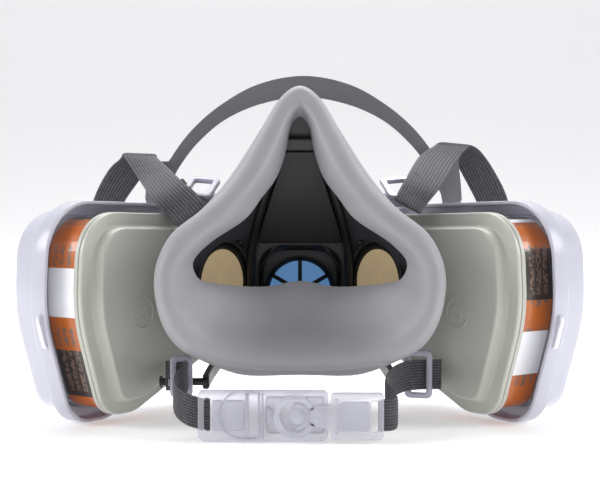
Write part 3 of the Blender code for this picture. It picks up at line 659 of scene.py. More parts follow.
def frame_sections(steps):
    """The sections with more between them, so that the bowl is smooth from front to back."""
    result = []
    for section, following in zip(FRAME_SECTIONS, FRAME_SECTIONS[1:]):
        for step in range(steps):
            mix = step / steps
            result.append(tuple(a + (b - a) * mix for a, b in zip(section, following)))
    result.append(FRAME_SECTIONS[-1])
    return result


def cut_with(obj, cutters):
    """Cuts with each cutter, then applies the cuts and removes the cutters."""
    for cutter in cutters:
        modifier = obj.modifiers.new("cut", "BOOLEAN")
        modifier.operation = "DIFFERENCE"
        modifier.object = cutter
        modifier.use_self = True
    bpy.context.view_layer.update()
    evaluated = obj.evaluated_get(bpy.context.evaluated_depsgraph_get())
    mesh = bpy.data.meshes.new_from_object(evaluated)
    obj.modifiers.clear()
    old = obj.data
    obj.data = mesh
    mesh.name = old.name
    mesh.shade_smooth()
    mesh.set_sharp_from_angle(angle=math.radians(30.0))
    for cutter in cutters:
        bpy.data.objects.remove(cutter, do_unlink=True)


def prism(name, outline, low, high, matrix):
    """A prism to cut with, from height low to high of the matrix's own frame."""
    bm = bmesh.new()
    bridge(bm, [[bm.verts.new((x, y, level)) for x, y in outline] for level in (low, high)],
           capped=True)
    bm.transform(matrix)
    return add_object(name, mesh_from(bm, name))


def disc(name, radius, low, high, matrix):
    """A cylinder to cut with, from height low to high of the matrix's own frame."""
    bm = bmesh.new()
    bmesh.ops.create_cone(bm, cap_ends=True, segments=72, radius1=radius, radius2=radius,
                          depth=high - low, matrix=Matrix.Translation((0, 0, (low + high) / 2)))
    bm.transform(matrix)
    return add_object(name, mesh_from(bm, name))


def clear_inside(obj, radius, low, high, matrix):
    """Removes the faces whose middle lies inside a drilled hole."""
    into_hole = matrix.inverted()
    bm = bmesh.new()
    bm.from_mesh(obj.data)
    inside = []
    for face in bm.faces:
        middle = into_hole @ face.calc_center_median()
        if math.hypot(middle.x, middle.y) < radius and low < middle.z < high:
            inside.append(face)
    bmesh.ops.delete(bm, geom=inside, context="FACES")
    bm.to_mesh(obj.data)
    bm.free()


FRAME_WALL = 2.2
FRAME_FRONT = 85.8            # how deep the inside of the frame's bowl goes
SEAT_HOLE = (17.3, -12.0, 12.0)    # radius and the heights that the hole runs between
PORT_HOLE = (18.2, -26.0, 0.0)


def make_inner_frame():
    sections = frame_sections(3)
    inside = [frame_ring((min(section[0], FRAME_FRONT), *section[1:]), -FRAME_WALL)
              for section in reversed(sections)]
    outside = [frame_ring(section, 0.0) for section in sections]
    shell = loft("frame_shell", inside + outside, MASK_PLACE, *CHEEK_PART)
    holes = [("seat_hole", SEAT_HOLE, 0.2, placed(OUTWARD, *EXHALE_CENTRE))]
    for label, side in SIDES:
        holes.append(("port_hole_" + label, PORT_HOLE, 0.4, port_place(side)))
    cut_with(shell, [disc(name, *hole, matrix) for name, hole, _, matrix in holes])
    for _, (radius, low, high), margin, matrix in holes:
        clear_inside(shell, radius - margin, low, high, matrix)
    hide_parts("inner_frame")
    for label, side in SIDES:
        turned("port_boss_" + label,
               [(17.4, -10.6, 0.4), (20.4, -10.6, 1.2), (21.0, -9.0, 0.5), (21.0, -5.2, 0.4),
                (17.4, -5.2, 0.4)], port_place(side), *PANEL_PART)
    make_frame_details()


def make_frame_details():
    """The raised panels and ribs moulded inside the frame."""
    lean = Matrix.Rotation(math.radians(27.0), 4, "X")
    steep = Matrix.Rotation(math.radians(24.0), 4, "X")
    flat_plate("front_panel", trapezium((18.6, -21.5, 2.0), (6.2, 21.5, 1.5)), [], 4.0, 0.6,
               placed(FACING, 0, 65.8, 91.0) @ lean, FRONT_PANEL_BLACK_LIT, "root", "black_plastic")
    flat_plate("nose_panel", trapezium((5.6, -5.5, 1.0), (3.4, 7.0, 3.0)), [], 2.2, 0.6,
               placed(FACING, 0, 54.0, 119.4) @ steep, *PANEL_PART)
    flat_plate("nose_step", trapezium((6.8, -2.6, 0.8), (5.6, 2.6, 0.8), 4), [], 3.0, 0.8,
               placed(FACING, 0, 53.6, 112.6) @ steep, *PANEL_PART)
    wall = trapezium((19.5, 30.0, 2.0), (19.5, 73.5, 2.0), 4)
    arch = trapezium((17.8, 31.0, 1.0), (17.8, 70.0, 10.0), 8)
    flat_plate("port_arch", wall, [arch], 3.0, 0.5, placed(FACING, 0, 78.0, 0), *PANEL_PART)
    surround = trapezium((15.9, 31.6, 1.0), (15.9, 68.0, 9.0), 8)
    opening = arc(0.0, EXHALE_CENTRE[2], 15.4, 0.0, 355.0, 48)
    flat_plate("seat_surround", surround, [opening], 2.0, 0.4, placed(FACING, 0, 79.6, 0),
               *PANEL_PART)
    for label, side in SIDES:
        rib = [(side * 19.6, 73.0, 32.0), (side * 20.6, 72.0, 52.0), (side * 20.4, 71.0, 68.0),
               (side * 16.4, 64.0, 86.0), (side * 9.0, 56.5, 106.0)]
        swept("frame_rib_" + label, smooth_path(rib, 8), arc(0, 0, 1.7, 0.0, 337.5, 15),
              Vector((1, 0, 0)), True)
        turned("cheek_ring_" + label, [(17.0, -12.6, 0.4), (18.8, -12.6, 0.4),
                                       (18.8, -9.0, 0.2), (17.0, -9.0, 0.2)], port_place(side),
               *CHEEK_PART, FINE_STEPS)
        turned("pin_dot_" + label, [(0.0, 1.6, 0), (0.9, 1.6, 0.3), (0.9, 0.0, 0)],
               placed(FACING, side * 25.0, 64.5, 72.0), *BLACK_PART, 24, False)


def swept(name, path, outline, first_axis, domed=False):
    """A black bar: an outline along a path, its own X kept near first_axis."""
    rings = []
    for index, here in enumerate(path):
        along = direction_at(path, index)
        across = (first_axis - along * first_axis.dot(along)).normalized()
        out = along.cross(across)
        from_end = min(index, len(path) - 1 - index)
        size = min(1.0, 0.45 + 0.28 * from_end) if domed else 1.0
        rings.append([here + (across * x + out * y) * size for x, y in outline])
    return loft(name, rings, MASK_PLACE, *BLACK_PART, smooth_degrees=60.0 if domed else 40.0)


# ---- valves and ports

def spokes(name, count, inner, outer, width, low, high, matrix, rotate=0.0):
    bm = bmesh.new()
    size = Matrix.Diagonal((outer - inner, width, high - low, 1.0))
    middle = Matrix.Translation(((outer + inner) / 2, 0.0, (high + low) / 2))
    for index in range(count):
        turn = Matrix.Rotation(rotate + index * 2 * math.pi / count, 4, "Z")
        made = bmesh.ops.create_cube(bm, size=1.0)
        bmesh.ops.transform(bm, matrix=turn @ middle @ size, verts=made["verts"])
    bmesh.ops.bevel(bm, geom=list(bm.edges), offset=0.3, segments=2, affect="EDGES")
    bm.transform(matrix)
    return finish_piece(name, bm, [INNER_BLACK], "root", 30.0)


def make_exhalation():
    matrix = placed(OUTWARD, *EXHALE_CENTRE)
    seat = turned("seat_ring", [(19.5, 3.4, 0.3), (19.5, 2.2, 0.3), (17.0, 2.2, 0.2),
                                (17.0, -4.6, 0.9), (14.6, -5.0, 0.9), (13.2, -3.0, 0.5),
                                (13.2, -1.6, 0.2), (14.4, -1.6, 0.2), (14.4, 3.4, 0.3)],
                  matrix, *BLACK_PART, FINE_STEPS)
    arms = spokes("seat_spokes", 6, 1.5, 13.8, 1.7, -3.2, -1.7, matrix, math.radians(30))
    hub = turned("seat_hub", [(0.0, -3.6, 0), (2.4, -3.6, 0.6), (2.8, -1.7, 0.2),
                              (0.0, -1.7, 0)], matrix, *BLACK_PART, 32, False)
    for piece in (seat, arms, hub):
        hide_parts("exhalation_seat")
    valve = turned("blue_valve", [(0.0, -1.35, 0), (3.0, -1.3, 0.3), (10.0, -1.05, 0.5),
                                  (13.6, -1.35, 0.3), (13.9, -0.9, 0.2), (13.6, -0.5, 0.2),
                                  (0.0, -0.5, 0)],
                   matrix, VALVE_BLUE, "exhalation_valve", "blue_rubber", FINE_STEPS, False)
    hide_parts("exhalation_valve")


def make_ports():
    for label, side in SIDES:
        matrix = port_place(side)
        body = turned("port_body_" + label,
                      [(15.8, 4.5, 0.5), (15.8, -3.4, 0.2), (20.0, -3.4, 0.3),
                       (20.0, -4.9, 0.3), (17.0, -4.9, 0.2), (17.0, -11.4, 0.8),
                       (14.9, -11.4, 0.5), (14.8, -9.5, 0.1), (12.8, -9.5, 0.2),
                       (12.8, -8.0, 0.2), (13.4, -8.0, 0.1), (13.4, 4.5, 0.4)],
                      matrix, *BLACK_PART, FINE_STEPS)
        bars = spokes("port_spokes_" + label, 4, 0.0, 13.1, 1.6, -9.4, -8.1, matrix)
        lugs = spokes("port_lugs_" + label, 3, 15.0, 16.5, 5.0, 2.4, 3.9, matrix)
        for piece in (body, bars, lugs):
            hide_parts("bayonet_port_" + label)
        valve = turned("amber_valve_" + label,
                       [(0.0, -11.0, 0), (2.2, -11.1, 0.5), (3.0, -10.5, 0.4),
                        (9.0, -10.35, 0.3), (13.8, -10.75, 0.3), (14.2, -10.3, 0.2),
                        (13.9, -9.85, 0.2), (0.0, -9.8, 0)], matrix, VALVE_AMBER,
                       "inhalation_valve_" + label, "amber_rubber", FINE_STEPS, False)
        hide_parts("inhalation_valve_" + label)
        paint("port_gasket_" + label, GASKET_BLACK)


def paint(node, material):
    """Gives a CAD node that stays its finished material."""
    mesh = frame["nodes"][node].data
    mesh.materials.clear()
    mesh.materials.append(material)


# ---- cartridges

def case_loft(name, side, profile, body, material, slot, closed=False, steps=4, smooth=40.0):
    """A case-shaped piece whose wall follows a rounded profile of (offset, height)."""
    rings = []
    for offset, height in soft_profile(profile, closed, steps):
        outline = rounded_outline(offset_corners(CASE_CORNERS, offset))
        rings.append([(side * x, y, height) for x, y in outline])
    return loft(name, rings, port_place(side), material, body, slot, closed, smooth)


MARK = (-38.0, -10.0)         # along the case and up, from the port, to the moulded rings


def make_cartridge(label, side):
    body = "cartridge_" + label
    back = case_loft("case_back_" + label, side,
                     [(-8.0, 0.0, 0), (-6.2, 0.0, 1.6), (-5.3, 4.9, 0.9), (0.0, 5.1, 0.8),
                      (0.0, 7.3, 0.3), (-7.2, 7.3, 0.3), (-8.1, 2.0, 0)],
                     body, CASE_OLIVE, "case_plastic")
    cut_with(back, [disc("socket", 20.3, -2.0, 9.0, port_place(side))])
    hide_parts("cartridge_back_" + label)
    for index, radius in enumerate((6.6, 2.8)):
        mark = turned("mould_mark_%d_%s" % (index, label),
                      [(radius, 0.05, 0.04), (radius, -0.3, 0.1), (radius - 0.6, -0.3, 0.1),
                       (radius - 0.6, 0.05, 0.04)],
                      port_place(side) @ Matrix.Translation((side * MARK[0], MARK[1], 0.0)),
                      CASE_OLIVE, body, "case_plastic", 64)
        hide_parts("cartridge_back_" + label)
    tub = case_loft("case_tub_" + label, side,
                    [(0.0, 7.6, 0.3), (0.0, 9.8, 0.7), (-2.5, 10.1, 0.3),
                     (-2.5, TUB_END, 0.5), (-9.0, TUB_END, 0.2), (-9.0, TUB_END - 1.5, 0.2),
                     (-4.5, TUB_END - 1.5, 0.2), (-4.5, 7.6, 0.2)],
                    body, CASE_OLIVE, "case_plastic", True, 3)
    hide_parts("cartridge_tub_" + label)
    make_label(label, side, body)
    paint("carbon_bed_" + label, CARBON_BLACK)
    paint("cartridge_grille_" + label, CASE_OLIVE)
    paint("socket_ring_" + label, INNER_BLACK)


ORANGE, WHITE, DARK, PRINT = range(4)    # the label's materials

# Bands of the printed film on each case's rear end, from the top: (lower limit, colour)
LABEL_BANDS = {
    -1: [(83.0, DARK), (82.0, WHITE), (63.0, ORANGE), (44.0, WHITE), (31.0, ORANGE),
         (12.0, DARK), (-9.0, ORANGE)],
    1: [(82.0, DARK), (81.0, WHITE), (71.0, ORANGE), (51.0, DARK), (38.5, ORANGE),
        (20.5, WHITE), (-9.0, ORANGE)],
}
LABEL_END = -53.0             # how far along the case the rear end's bands reach
FILM_COLUMNS = 12
PRINT_COLUMNS = (2, 3, 5, 6, 8, 9)
PRINT_CHANCE = 0.6


def label_colour(side, along, height, depth_fraction):
    """The band's colour, or PRINT for the specks that stand for small print."""
    level = PORT_CENTRE[2] + height
    if along > LABEL_END:
        return DARK if level > 70.0 else (WHITE if along > 10.0 else ORANGE)
    lower, colour = next(band for band in LABEL_BANDS[side] if level > band[0])
    column = int(depth_fraction * FILM_COLUMNS)
    printed = column in PRINT_COLUMNS and random.random() < PRINT_CHANCE
    if printed and colour == DARK and lower + 2.0 < level:
        return PRINT
    if printed and colour == ORANGE and int(level / 8.0) % 2 == 0:
        return PRINT
    return colour


def make_label(label, side, body):
    outline = dense_loop(rounded_outline(offset_corners(CASE_CORNERS, -1.8)), 0.8)
    levels = 24
    low = 10.7
    high = TUB_END - 1.1
    matrix = port_place(side)
    bm = bmesh.new()
    rows = []
    for step in range(levels + 1):
        height = low + (high - low) * step / levels
        rows.append([bm.verts.new(matrix @ Vector((side * x, y, height))) for x, y in outline])
    count = len(outline)
    for number, face in enumerate(bridge(bm, rows)):
        step, index = divmod(number, count)
        x0, y0 = outline[index]
        x1, y1 = outline[(index + 1) % count]
        face.material_index = label_colour(side, (x0 + x1) / 2, (y0 + y1) / 2,
                                           (step + 0.5) / levels)
    film = finish_piece("case_label_" + label, bm,
                        [LABEL_ORANGE, LABEL_WHITE, LABEL_DARK, LABEL_PRINT], body)
    skin = film.modifiers.new("film", "SOLIDIFY")
    skin.thickness = 0.3 * MM
    skin.offset = -1.0
    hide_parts("cartridge_label_" + label)


def dense_loop(points, spacing):
    """The same closed outline with points no further apart than spacing."""
    result = []
    for start, end in zip(points, points[1:] + points[:1]):
        start, end = Vector(start), Vector(end)
        pieces = max(1, math.ceil((end - start).length / spacing))
        result += [start.lerp(end, step / pieces)[:] for step in range(pieces)]
    return result


def make_retainer(label, side):
    body = "retainer_" + label
    profile = [(-12.0, RETAINER_END - 1.5, 0), (-8.6, RETAINER_END - 1.5, 0.8),
               (-8.0, 41.2, 0.8), (-1.5, 40.9, 1.2), (-1.2, 28.0, 0.8), (2.9, 27.4, 0.8),
               (3.1, RETAINER_LIP, 0.3), (4.5, RETAINER_LIP, 0.5), (4.5, 29.2, 1.8),
               (0.5, 29.4, 0.9), (0.2, 42.6, 2.6), (-6.4, 42.8, 0.8),
               (-7.2, RETAINER_END, 1.2), (-12.0, RETAINER_END, 0)]
    shell = case_loft("retainer_shell_" + label, side, profile, body, RETAINER_CLEAR,
                      "clear_plastic")
    windows = []
    for row in range(3):
        outline = slot_outline(side * (row * 2.0 - 24.0), 12.0 - row * 14.0, 62.0 - row * 12.0,
                               8.0)
        windows.append(prism("window_%d" % row, outline, RETAINER_END - 4.0,
                             RETAINER_END + 4.0, port_place(side)))
    cut_with(shell, windows)
    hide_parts("filter_retainer_" + label)
    start = Vector(CASE_CORNERS[1][:2])
    along = (Vector(CASE_CORNERS[2][:2]) - start).normalized()
    outward = Vector((along.y, -along.x))
    outline = []
    for reach, proud in ((-2.0, 2.2), (-1.0, 4.6), (0.5, 5.4), (11.0, 5.6), (12.4, 5.0),
                         (13.0, 2.6)):
        point = start + along * reach + outward * proud
        outline.append((side * point.x, point.y))
    tab = flat_plate("retainer_tab_" + label, outline, [], 2.4, 0.5,
                     port_place(side, RETAINER_LIP + 3.0), RETAINER_CLEAR, body, "clear_plastic")
    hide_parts("filter_retainer_" + label)
    pad = case_loft("felt_pad_" + label, side,
                    [(-12.0, TUB_END + 0.4, 0), (-4.2, TUB_END + 0.4, 2.0), (-3.4, 33.0, 4.0),
                     (-4.2, 39.8, 2.0), (-12.0, 40.2, 0)], body, FELT_WHITE, "felt",
                    smooth=60.0)
    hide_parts("prefilter_pad_" + label)


# ---- yoke

def arm_route(near, pin, rise):
    if rise > pin[2]:
        return [(15.0, 97.0, rise), (24.0, 91.0, 29.0), (32.5, 78.0, 23.0),
                (near - 1.0, 60.0, 18.5), (near, pin[1], pin[2])]
    return [(6.0, 97.0, rise), (16.0, 93.5, 86.5), (24.0, 82.0, 89.0),
            (near - 1.0, 68.0, pin[2]), (near, pin[1], pin[2])]


def make_yoke():
    base = [(-8.0, 85.0, 4.0), (-19.5, 60.0, 12.0), (-17.5, 30.0, 9.0),
            (17.5, 30.0, 9.0), (19.5, 60.0, 12.0), (8.0, 85.0, 4.0)]
    profile = [(-8.5, 103.0, 0), (-6.0, 101.6, 1.0), (-3.0, 98.5, 1.0), (-2.4, 91.6, 0.2),
               (-0.6, 91.6, 0.4), (0.0, 92.6, 0.5), (-0.8, 99.0, 2.0), (-4.0, 103.5, 2.0),
               (-8.0, 105.0, 0)]
    rings = [[(x, depth, z) for x, z in rounded_outline(offset_corners(base, offset))]
             for offset, depth in soft_profile(profile, False, 4)]
    cover = loft("yoke_cover", rings, MASK_PLACE, *PANEL_PART)
    cut_with(cover, [prism("vent_%d" % row, slot_outline(0.0, 39.5 + row * 7.0, 21.0, 3.0),
                           -12.0, -4.0, placed(FACING, 0, 92.0, 0)) for row in range(4)])
    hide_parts("front_yoke")
    for label, side in SIDES:
        for name, pin, rise in (("upper", UPPER_PIN, 80.5), ("lower", LOWER_PIN, 35.0)):
            near = pin[0] - BUCKLE_WIDTH / 2 - 1.8
            length = BUCKLE_WIDTH + 2.3
            path = smooth_path([(side * x, y, z) for x, y, z in arm_route(near, pin, rise)], 8)
            arm = swept("yoke_%s_arm_%s" % (name, label), path,
                        rectangle(-3.0, -1.3, 3.0, 1.3, 0.8, 3), UP)
            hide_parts("front_yoke")
            axle = turned("yoke_%s_pin_%s" % (name, label),
                          [(0.0, length + 1.2, 0), (2.4, length + 1.2, 0.5),
                           (2.4, length, 0.2), (1.5, length, 0), (1.5, -0.5, 0),
                           (0.0, -0.5, 0)],
                          placed(SIDEWAYS, side * near, pin[1], pin[2])
                          @ Matrix.Rotation(0 if side > 0 else math.pi, 4, "X"),
                          *BLACK_PART, 32, False)
            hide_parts("front_yoke")


# ---- harness

# Right half of the crown arch, from one point left of its top
ARCH_OUTER = [(-20.0, 141.8), (0.0, 145.6), (20.0, 141.8), (36.5, 132.5), (49.0, 121.5),
              (58.0, 109.5), (64.0, 98.0)]
ARCH_INNER = [(-19.0, 132.8), (0.0, 136.0), (19.0, 132.8), (35.0, 125.5), (47.0, 115.0),
              (54.5, 105.0), (58.0, 98.5)]
LEG = [(69.6, 98.0), (70.6, 90.0), (69.8, 86.5), (67.6, 85.0), (64.4, 85.0), (62.4, 86.5),
       (61.2, 92.0)]
LEG_TOP = 100.0
BAR_TOPS = (107.0, 111.0)     # of the bars that the left and right straps hang from
ARCH_REACH = 60.0             # half width over which the arch's skew grows to double
ARCH_SKEW = 1.6               # how far the arch's middle sits to the right
LEG_SWEEP = 0.4               # how far the cradle's legs run outward for each unit down


def arch_half(top, outer, inner):
    """The right half's outline, with its strap bar's top edge at the given height."""
    crown = [point for point in outer if point[1] > top + 1.0]
    bar = [(crown[-1][0] + 1.0, top), (68.0, top), (69.0, top - 1.0), (69.0, top - 2.8),
           (68.5, top - 3.8)]
    return crown + bar + LEG + inner[::-1]


def make_cradle():
    """The crown arch; a bar at each end carries the strap, and the legs bend away below."""
    outer = smooth_outline(ARCH_OUTER, 10)[10:]
    inner = smooth_outline(ARCH_INNER, 10)[10:]
    left, right = [arch_half(top, outer, inner) for top in BAR_TOPS]
    outline = right[:-1] + [(-x, z) for x, z in reversed(left[1:])]
    cradle = flat_plate("cradle_plate", outline, [], 2.0, 0.4, placed(FACING, 0, CRADLE_DEPTH, 0),
                        CRADLE_GREY, "head_harness", "cradle_plastic")
    for vert in cradle.data.vertices:
        vert.co.y += max(0.0, LEG_TOP * MM - vert.co.z) * LEG_SWEEP
        vert.co.x += ARCH_SKEW * (1.0 + vert.co.x / (ARCH_REACH * MM)) * MM
    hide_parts("crown_cradle")


def open_frame(name, centre, along, across, half_length, half_width, bar, body):
    """A clear rectangular ring, half_length along one axis and half_width along the other."""
    outline = rectangle(-half_length, -half_width, half_length, half_width, 2.2)
    hole = rectangle(bar - half_length, bar - half_width, half_length - bar, half_width - bar,
                     0.9)
    x_axis = Vector(along).normalized()
    y_axis = Vector(across)
    y_axis = (y_axis - x_axis * y_axis.dot(x_axis)).normalized()
    turn = Matrix((x_axis, y_axis, x_axis.cross(y_axis))).transposed().to_4x4()
    matrix = Matrix.Translation(place(*centre)) @ turn @ Matrix.Scale(MM, 4)
    return flat_plate(name, outline, [hole], 2.2, 0.6, matrix, RING_CLEAR, body,
                      "clear_plastic")


def strap_eye(name, radius, half, side, centre, body):
    """The clear sleeve of a buckle that turns on the yoke's pin."""
    profile = [(radius, half, 0.5), (radius, -half, 0.5), (1.9, -half, 0.3), (1.9, half, 0.3)]
    matrix = placed(SIDEWAYS, side * centre[0], *centre[1:])
    return turned(name, profile, matrix, RING_CLEAR, body, "clear_plastic", 48)


def make_upper_buckle(label, side):
    ring = open_frame("strap_ring_" + label, (side * 41.2, 60.0, 94.6),
                      (side * 0.93, 0.27, 0.08), (side * 0.52, -0.70, -0.48),
                      6.6, 7.5, 2.6, "head_harness")
    eye = strap_eye("strap_eye_" + label, 2.9, BUCKLE_WIDTH / 2, side, UPPER_PIN, "head_harness")
    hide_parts("upper_buckle_" + label)
    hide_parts("upper_buckle_" + label)


NECK_SLIDERS = {              # middle of the ring, half length and half height
    "left": ((-47.0, 32.4, 19.8), 4.5, 8.3),
    "right": ((47.2, 35.5, 20.4), 5.6, 9.6),
}


def make_neck_slider(label, side):
    centre, half_length, half_height = NECK_SLIDERS[label]
    ring = open_frame("slider_ring_" + label, centre, (side * 0.94, -0.34, 0.0),
                      (0.0, 0.0, 1.0), half_length, half_height, 2.3, "neck_strap")
    eye_centre = (LOWER_PIN[0] + 1.0, *LOWER_PIN[1:])
    eye = strap_eye("slider_eye_" + label, 2.7, 4.6, side, eye_centre, "neck_strap")
    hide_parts("neck_slider_" + label)
    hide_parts("neck_slider_" + label)


# Inner and outer edges of each upper strap, from its free end down behind the buckle, round it,
# up to the cradle's bar, over it and down as a tail that ends alike on both sides
TAIL_END = [((85.0, 109.0, 76.0), (97.2, 110.0, 77.0)), ((86.2, 102.0, 63.0), (98.2, 103.0, 62.0))]
UPPER_STRAPS = {
    "left": [
        ((49.0, 66.0, 98.6), (59.5, 68.0, 91.0)), ((44.5, 58.0, 94.0), (55.2, 60.5, 86.4)),
        ((38.2, 50.4, 88.8), (49.4, 53.2, 80.4)), ((37.4, 46.2, 87.2), (49.6, 49.6, 78.6)),
        ((41.2, 49.0, 91.4), (53.6, 53.0, 82.6)), ((49.2, 61.0, 97.6), (61.0, 60.0, 89.4)),
        ((58.8, 92.0, 104.4), (70.8, 92.0, 98.4)), ((64.2, 108.4, 108.2), (79.4, 108.4, 108.6)),
        ((65.4, 112.0, 109.8), (80.4, 112.0, 110.4)), ((68.4, 115.2, 107.6), (82.4, 115.2, 108.0)),
        ((73.4, 115.4, 98.6), (87.4, 115.4, 103.2)), ((80.2, 115.0, 88.6), (93.4, 115.0, 92.2)),
        *TAIL_END,
    ],
    "right": [
        ((48.0, 67.0, 101.2), (58.6, 68.0, 94.0)), ((43.6, 58.0, 96.4), (54.2, 60.5, 89.6)),
        ((39.0, 50.4, 91.4), (49.8, 53.0, 85.2)), ((38.2, 46.2, 90.2), (49.4, 49.6, 84.2)),
        ((40.2, 49.6, 93.4), (51.8, 53.6, 87.8)), ((44.0, 60.0, 98.8), (57.6, 62.0, 94.0)),
        ((52.1, 92.0, 108.2), (68.3, 94.0, 105.6)), ((60.0, 108.4, 113.4), (75.2, 108.4, 112.4)),
        ((63.6, 112.0, 115.2), (78.4, 112.0, 113.8)), ((68.6, 115.2, 111.4), (83.0, 115.2, 111.0)),
        ((74.0, 115.4, 101.4), (88.6, 115.4, 103.0)), ((80.6, 115.0, 88.8), (94.4, 115.0, 91.4)),
        *TAIL_END,
    ],
}


def make_upper_strap(label, side):
    edges = [[Vector((side * x, y, z)) for x, y, z in pair] for pair in UPPER_STRAPS[label]]
    strap = band("harness_strap_" + label, edges, "head_harness")
    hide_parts("upper_strap_" + label)


NECK_STRAPS = {
    "left": [(-53.5, 36.6, 19.6), (-50.5, 35.6, 19.8), (-46.6, 33.0, 20.2), (-44.4, 27.0, 20.6),
             (-45.0, 19.5, 20.4), (-47.2, 11.5, 18.2), (-46.6, 5.0, 14.8), (-42.0, 1.5, 11.9),
             (-36.5, 1.0, 10.4), (-33.5, 0.6, 10.1)],
    "right": [(56.4, 36.6, 20.2), (52.3, 36.0, 20.2), (46.8, 35.0, 20.2), (41.5, 32.6, 19.8),
              (36.8, 27.0, 18.6), (33.8, 20.5, 16.6), (33.3, 14.0, 14.0), (35.4, 8.0, 11.6),
              (36.2, 4.0, 10.4), (34.0, 1.4, 9.9), (29.4, 0.6, 9.8)],
}


def make_neck_strap(label, side):
    body = "neck_strap" if side < 0 else None
    points = NECK_STRAPS[label]
    half = Vector((0.0, 0.0, STRAP_WIDTH / 2))
    edges = [(Vector(point) - half, Vector(point) + half) for point in points]
    strap = band("neck_webbing_" + label, edges, body)
    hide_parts("neck_strap_" + label)
    if side > 0:
        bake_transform(strap)


def clasp_part(name, outline, holes, depth, thickness, body):
    part = flat_plate(name, outline, holes, thickness, min(0.35, thickness / 3),
                      placed(FACING, 0, depth, 0), BUCKLE_CLEAR, body, "clear_plastic")
    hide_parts("clasp_plate" if body == "neck_strap" else "clasp_hook")


def make_clasp_plate():
    """The plate with a window that the left neck strap holds, and its spring finger."""
    window = rectangle(-12.3, 3.2, 8.6, 16.4, 1.6)
    strap_slot = slot_outline(-34.4, 10.2, 2.4, 12.2)
    finger = arc(-21.0, CLASP_HEIGHT + 0.3, 9.4, 84.0, 276.0) + [(-16.2, 1.0), (-16.2, 1.9)]
    finger += arc(-21.0, CLASP_HEIGHT + 0.3, 8.6, 276.0, 84.0) + [(-16.2, 18.1), (-16.2, 19.0)]
    ridges = [("clasp_ridge_%d" % index, rectangle(low, 1.2, high, 18.4, 0.3), [], -1.2, 1.3)
              for index, (low, high) in enumerate(((-20.4, -18.9), (-15.6, -14.8),
                                                   (-14.2, -13.5)))]
    for part in [
            ("clasp_back", rectangle(-38.0, 0.3, 10.6, 19.4, 2.2), [window, strap_slot], 0.2, 1.6),
            ("clasp_floor", rectangle(-13.0, 2.6, 9.4, 17.0, 1.2), [], 1.6, 0.8),
            ("clasp_panel", rectangle(-32.4, 4.4, -20.6, 15.8, 0.9), [], -1.0, 0.8),
            ("clasp_finger", finger, [], -1.3, 1.4), *ridges,
            ("clasp_stop", arc(-12.6, CLASP_HEIGHT, 3.3, -90.0, 90.0, 16), [], -0.9, 1.4)]:
        clasp_part(*part, "neck_strap")


def make_clasp_hook():
    """The hooked plate that drops into the window, on the right neck strap."""
    plate = rounded_outline([(3.6, 6.4, 1.0), (11.0, 5.2, 1.5), (11.6, 1.4, 1.2),
                             (31.0, 1.4, 1.6), (31.0, 18.8, 1.6), (11.6, 18.8, 1.2),
                             (11.0, 14.2, 1.5), (3.6, 13.4, 1.0)], 6)
    hook = (arc(-1.8, CLASP_HEIGHT, 8.0, 20.0, 340.0, 40)
            + arc(-1.8, CLASP_HEIGHT, 5.9, 340.0, 20.0, 40))
    crescent = (arc(-1.2, CLASP_HEIGHT, 5.0, -110.0, 110.0, 24)
                + arc(-3.6, CLASP_HEIGHT, 4.6, 70.0, -70.0, 16))
    for part in [
            ("clasp_front", plate, [rectangle(26.4, 4.2, 28.8, 15.6, 0.8)], -2.6, 2.0),
            ("clasp_front_panel", rectangle(15.4, 4.6, 25.6, 15.6, 0.8), [], -3.9, 0.6),
            ("clasp_front_ridge", rectangle(12.8, 3.6, 14.2, 16.6, 0.4), [], -3.9, 1.0),
            ("clasp_hook_ring", hook, [], -2.6, 2.0), ("clasp_crescent", crescent, [], -2.6, 1.8)]:
        clasp_part(*part, "clasp_hook")
    knob = turned("clasp_knob", [(0.0, -2.0, 0), (3.0, -2.0, 0.6), (3.4, 0.6, 0.6),
                                 (0.0, 1.0, 0)], placed(FACING, -0.4, -2.8, CLASP_HEIGHT),
                  BUCKLE_CLEAR, "clasp_hook", "clear_plastic", 48, False)
    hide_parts("clasp_hook")


# ---- stage

COVE_START = 1.2              # metres behind the mask where the floor starts to curve up
COVE_RADIUS = 1.2
STAGE_HALF_WIDTH = 4.0


def look_from(obj, position, target):
    obj.location = position
    obj.rotation_euler = (target - position).to_track_quat("-Z", "Y").to_euler()


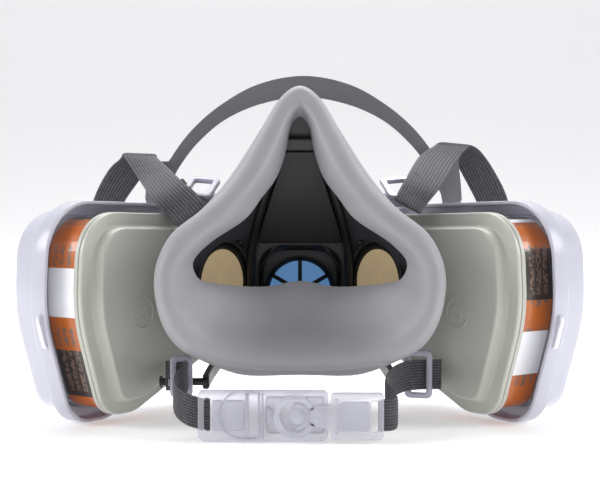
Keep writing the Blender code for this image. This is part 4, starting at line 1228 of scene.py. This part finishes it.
def make_stage():
    """A pale floor that curves up into a wall, with soft light from above, behind and beside."""
    material, _, shader = new_material("pale_floor", (0.80, 0.80, 0.805), 0.7)
    adjust(shader, {"Emission Color": (1.0, 1.0, 1.0, 1.0), "Emission Strength": 0.38})
    cove = [(COVE_START + y, COVE_RADIUS + z) for y, z in arc(0, 0, COVE_RADIUS, -90, 0, 18)]
    profile = [(-3.0, 0.0), *cove, (COVE_START + COVE_RADIUS, 4.5)]
    bm = bmesh.new()
    bridge(bm, [[bm.verts.new((x, y, z - 0.0002)) for y, z in profile]
                for x in (STAGE_HALF_WIDTH, -STAGE_HALF_WIDTH)], closed=False)
    mesh = bpy.data.meshes.new("backdrop")
    bm.to_mesh(mesh)
    bm.free()
    mesh.materials.append(material)
    mesh.shade_smooth()
    add_object("backdrop", mesh)
    world = bpy.data.worlds.new("studio")
    world.use_nodes = True
    adjust(world.node_tree.nodes["Background"],
           {"Color": (0.38, 0.38, 0.40, 1.0), "Strength": 1.0})
    bpy.context.scene.world = world
    bpy.context.scene.view_settings.view_transform = "Standard"
    add_light("top_light", (0.0, 0.50, 1.0), (0.0, 0.0, 0.05), 0.8, 10.5)
    add_light("left_light", (-1.0, -0.25, 0.55), (0.0, 0.0, 0.06), 0.5, 6.5)
    add_light("right_light", (1.0, -0.25, 0.55), (0.0, 0.0, 0.06), 0.5, 6.5)


def add_light(name, position, target, size, power):
    light = bpy.data.lights.new(name, "AREA")
    light.shape = "SQUARE"
    light.size = size
    light.energy = power
    look_from(add_object(name, light), Vector(position), Vector(target))


def make_camera():
    data = bpy.data.cameras.new("camera")
    data.lens = 78.0
    data.sensor_width = 36.0
    camera = add_object("camera", data)
    position = place(0.0, -480.0, 92.0)
    pitch = math.radians(2.5)
    look_from(camera, position, position + Vector((0.0, math.cos(pitch), -math.sin(pitch))))
    bpy.context.scene.camera = camera


# ---- the mask

random.seed(7)
make_camera()
make_stage()
make_face_seal()
make_inner_frame()
make_exhalation()
make_ports()
for side_name, side_sign in SIDES:
    make_cartridge(side_name, side_sign)
    make_retainer(side_name, side_sign)
make_yoke()
make_cradle()
for side_name, side_sign in SIDES:
    make_upper_buckle(side_name, side_sign)
    make_neck_slider(side_name, side_sign)
    make_upper_strap(side_name, side_sign)
    make_neck_strap(side_name, side_sign)
make_clasp_plate()
make_clasp_hook()
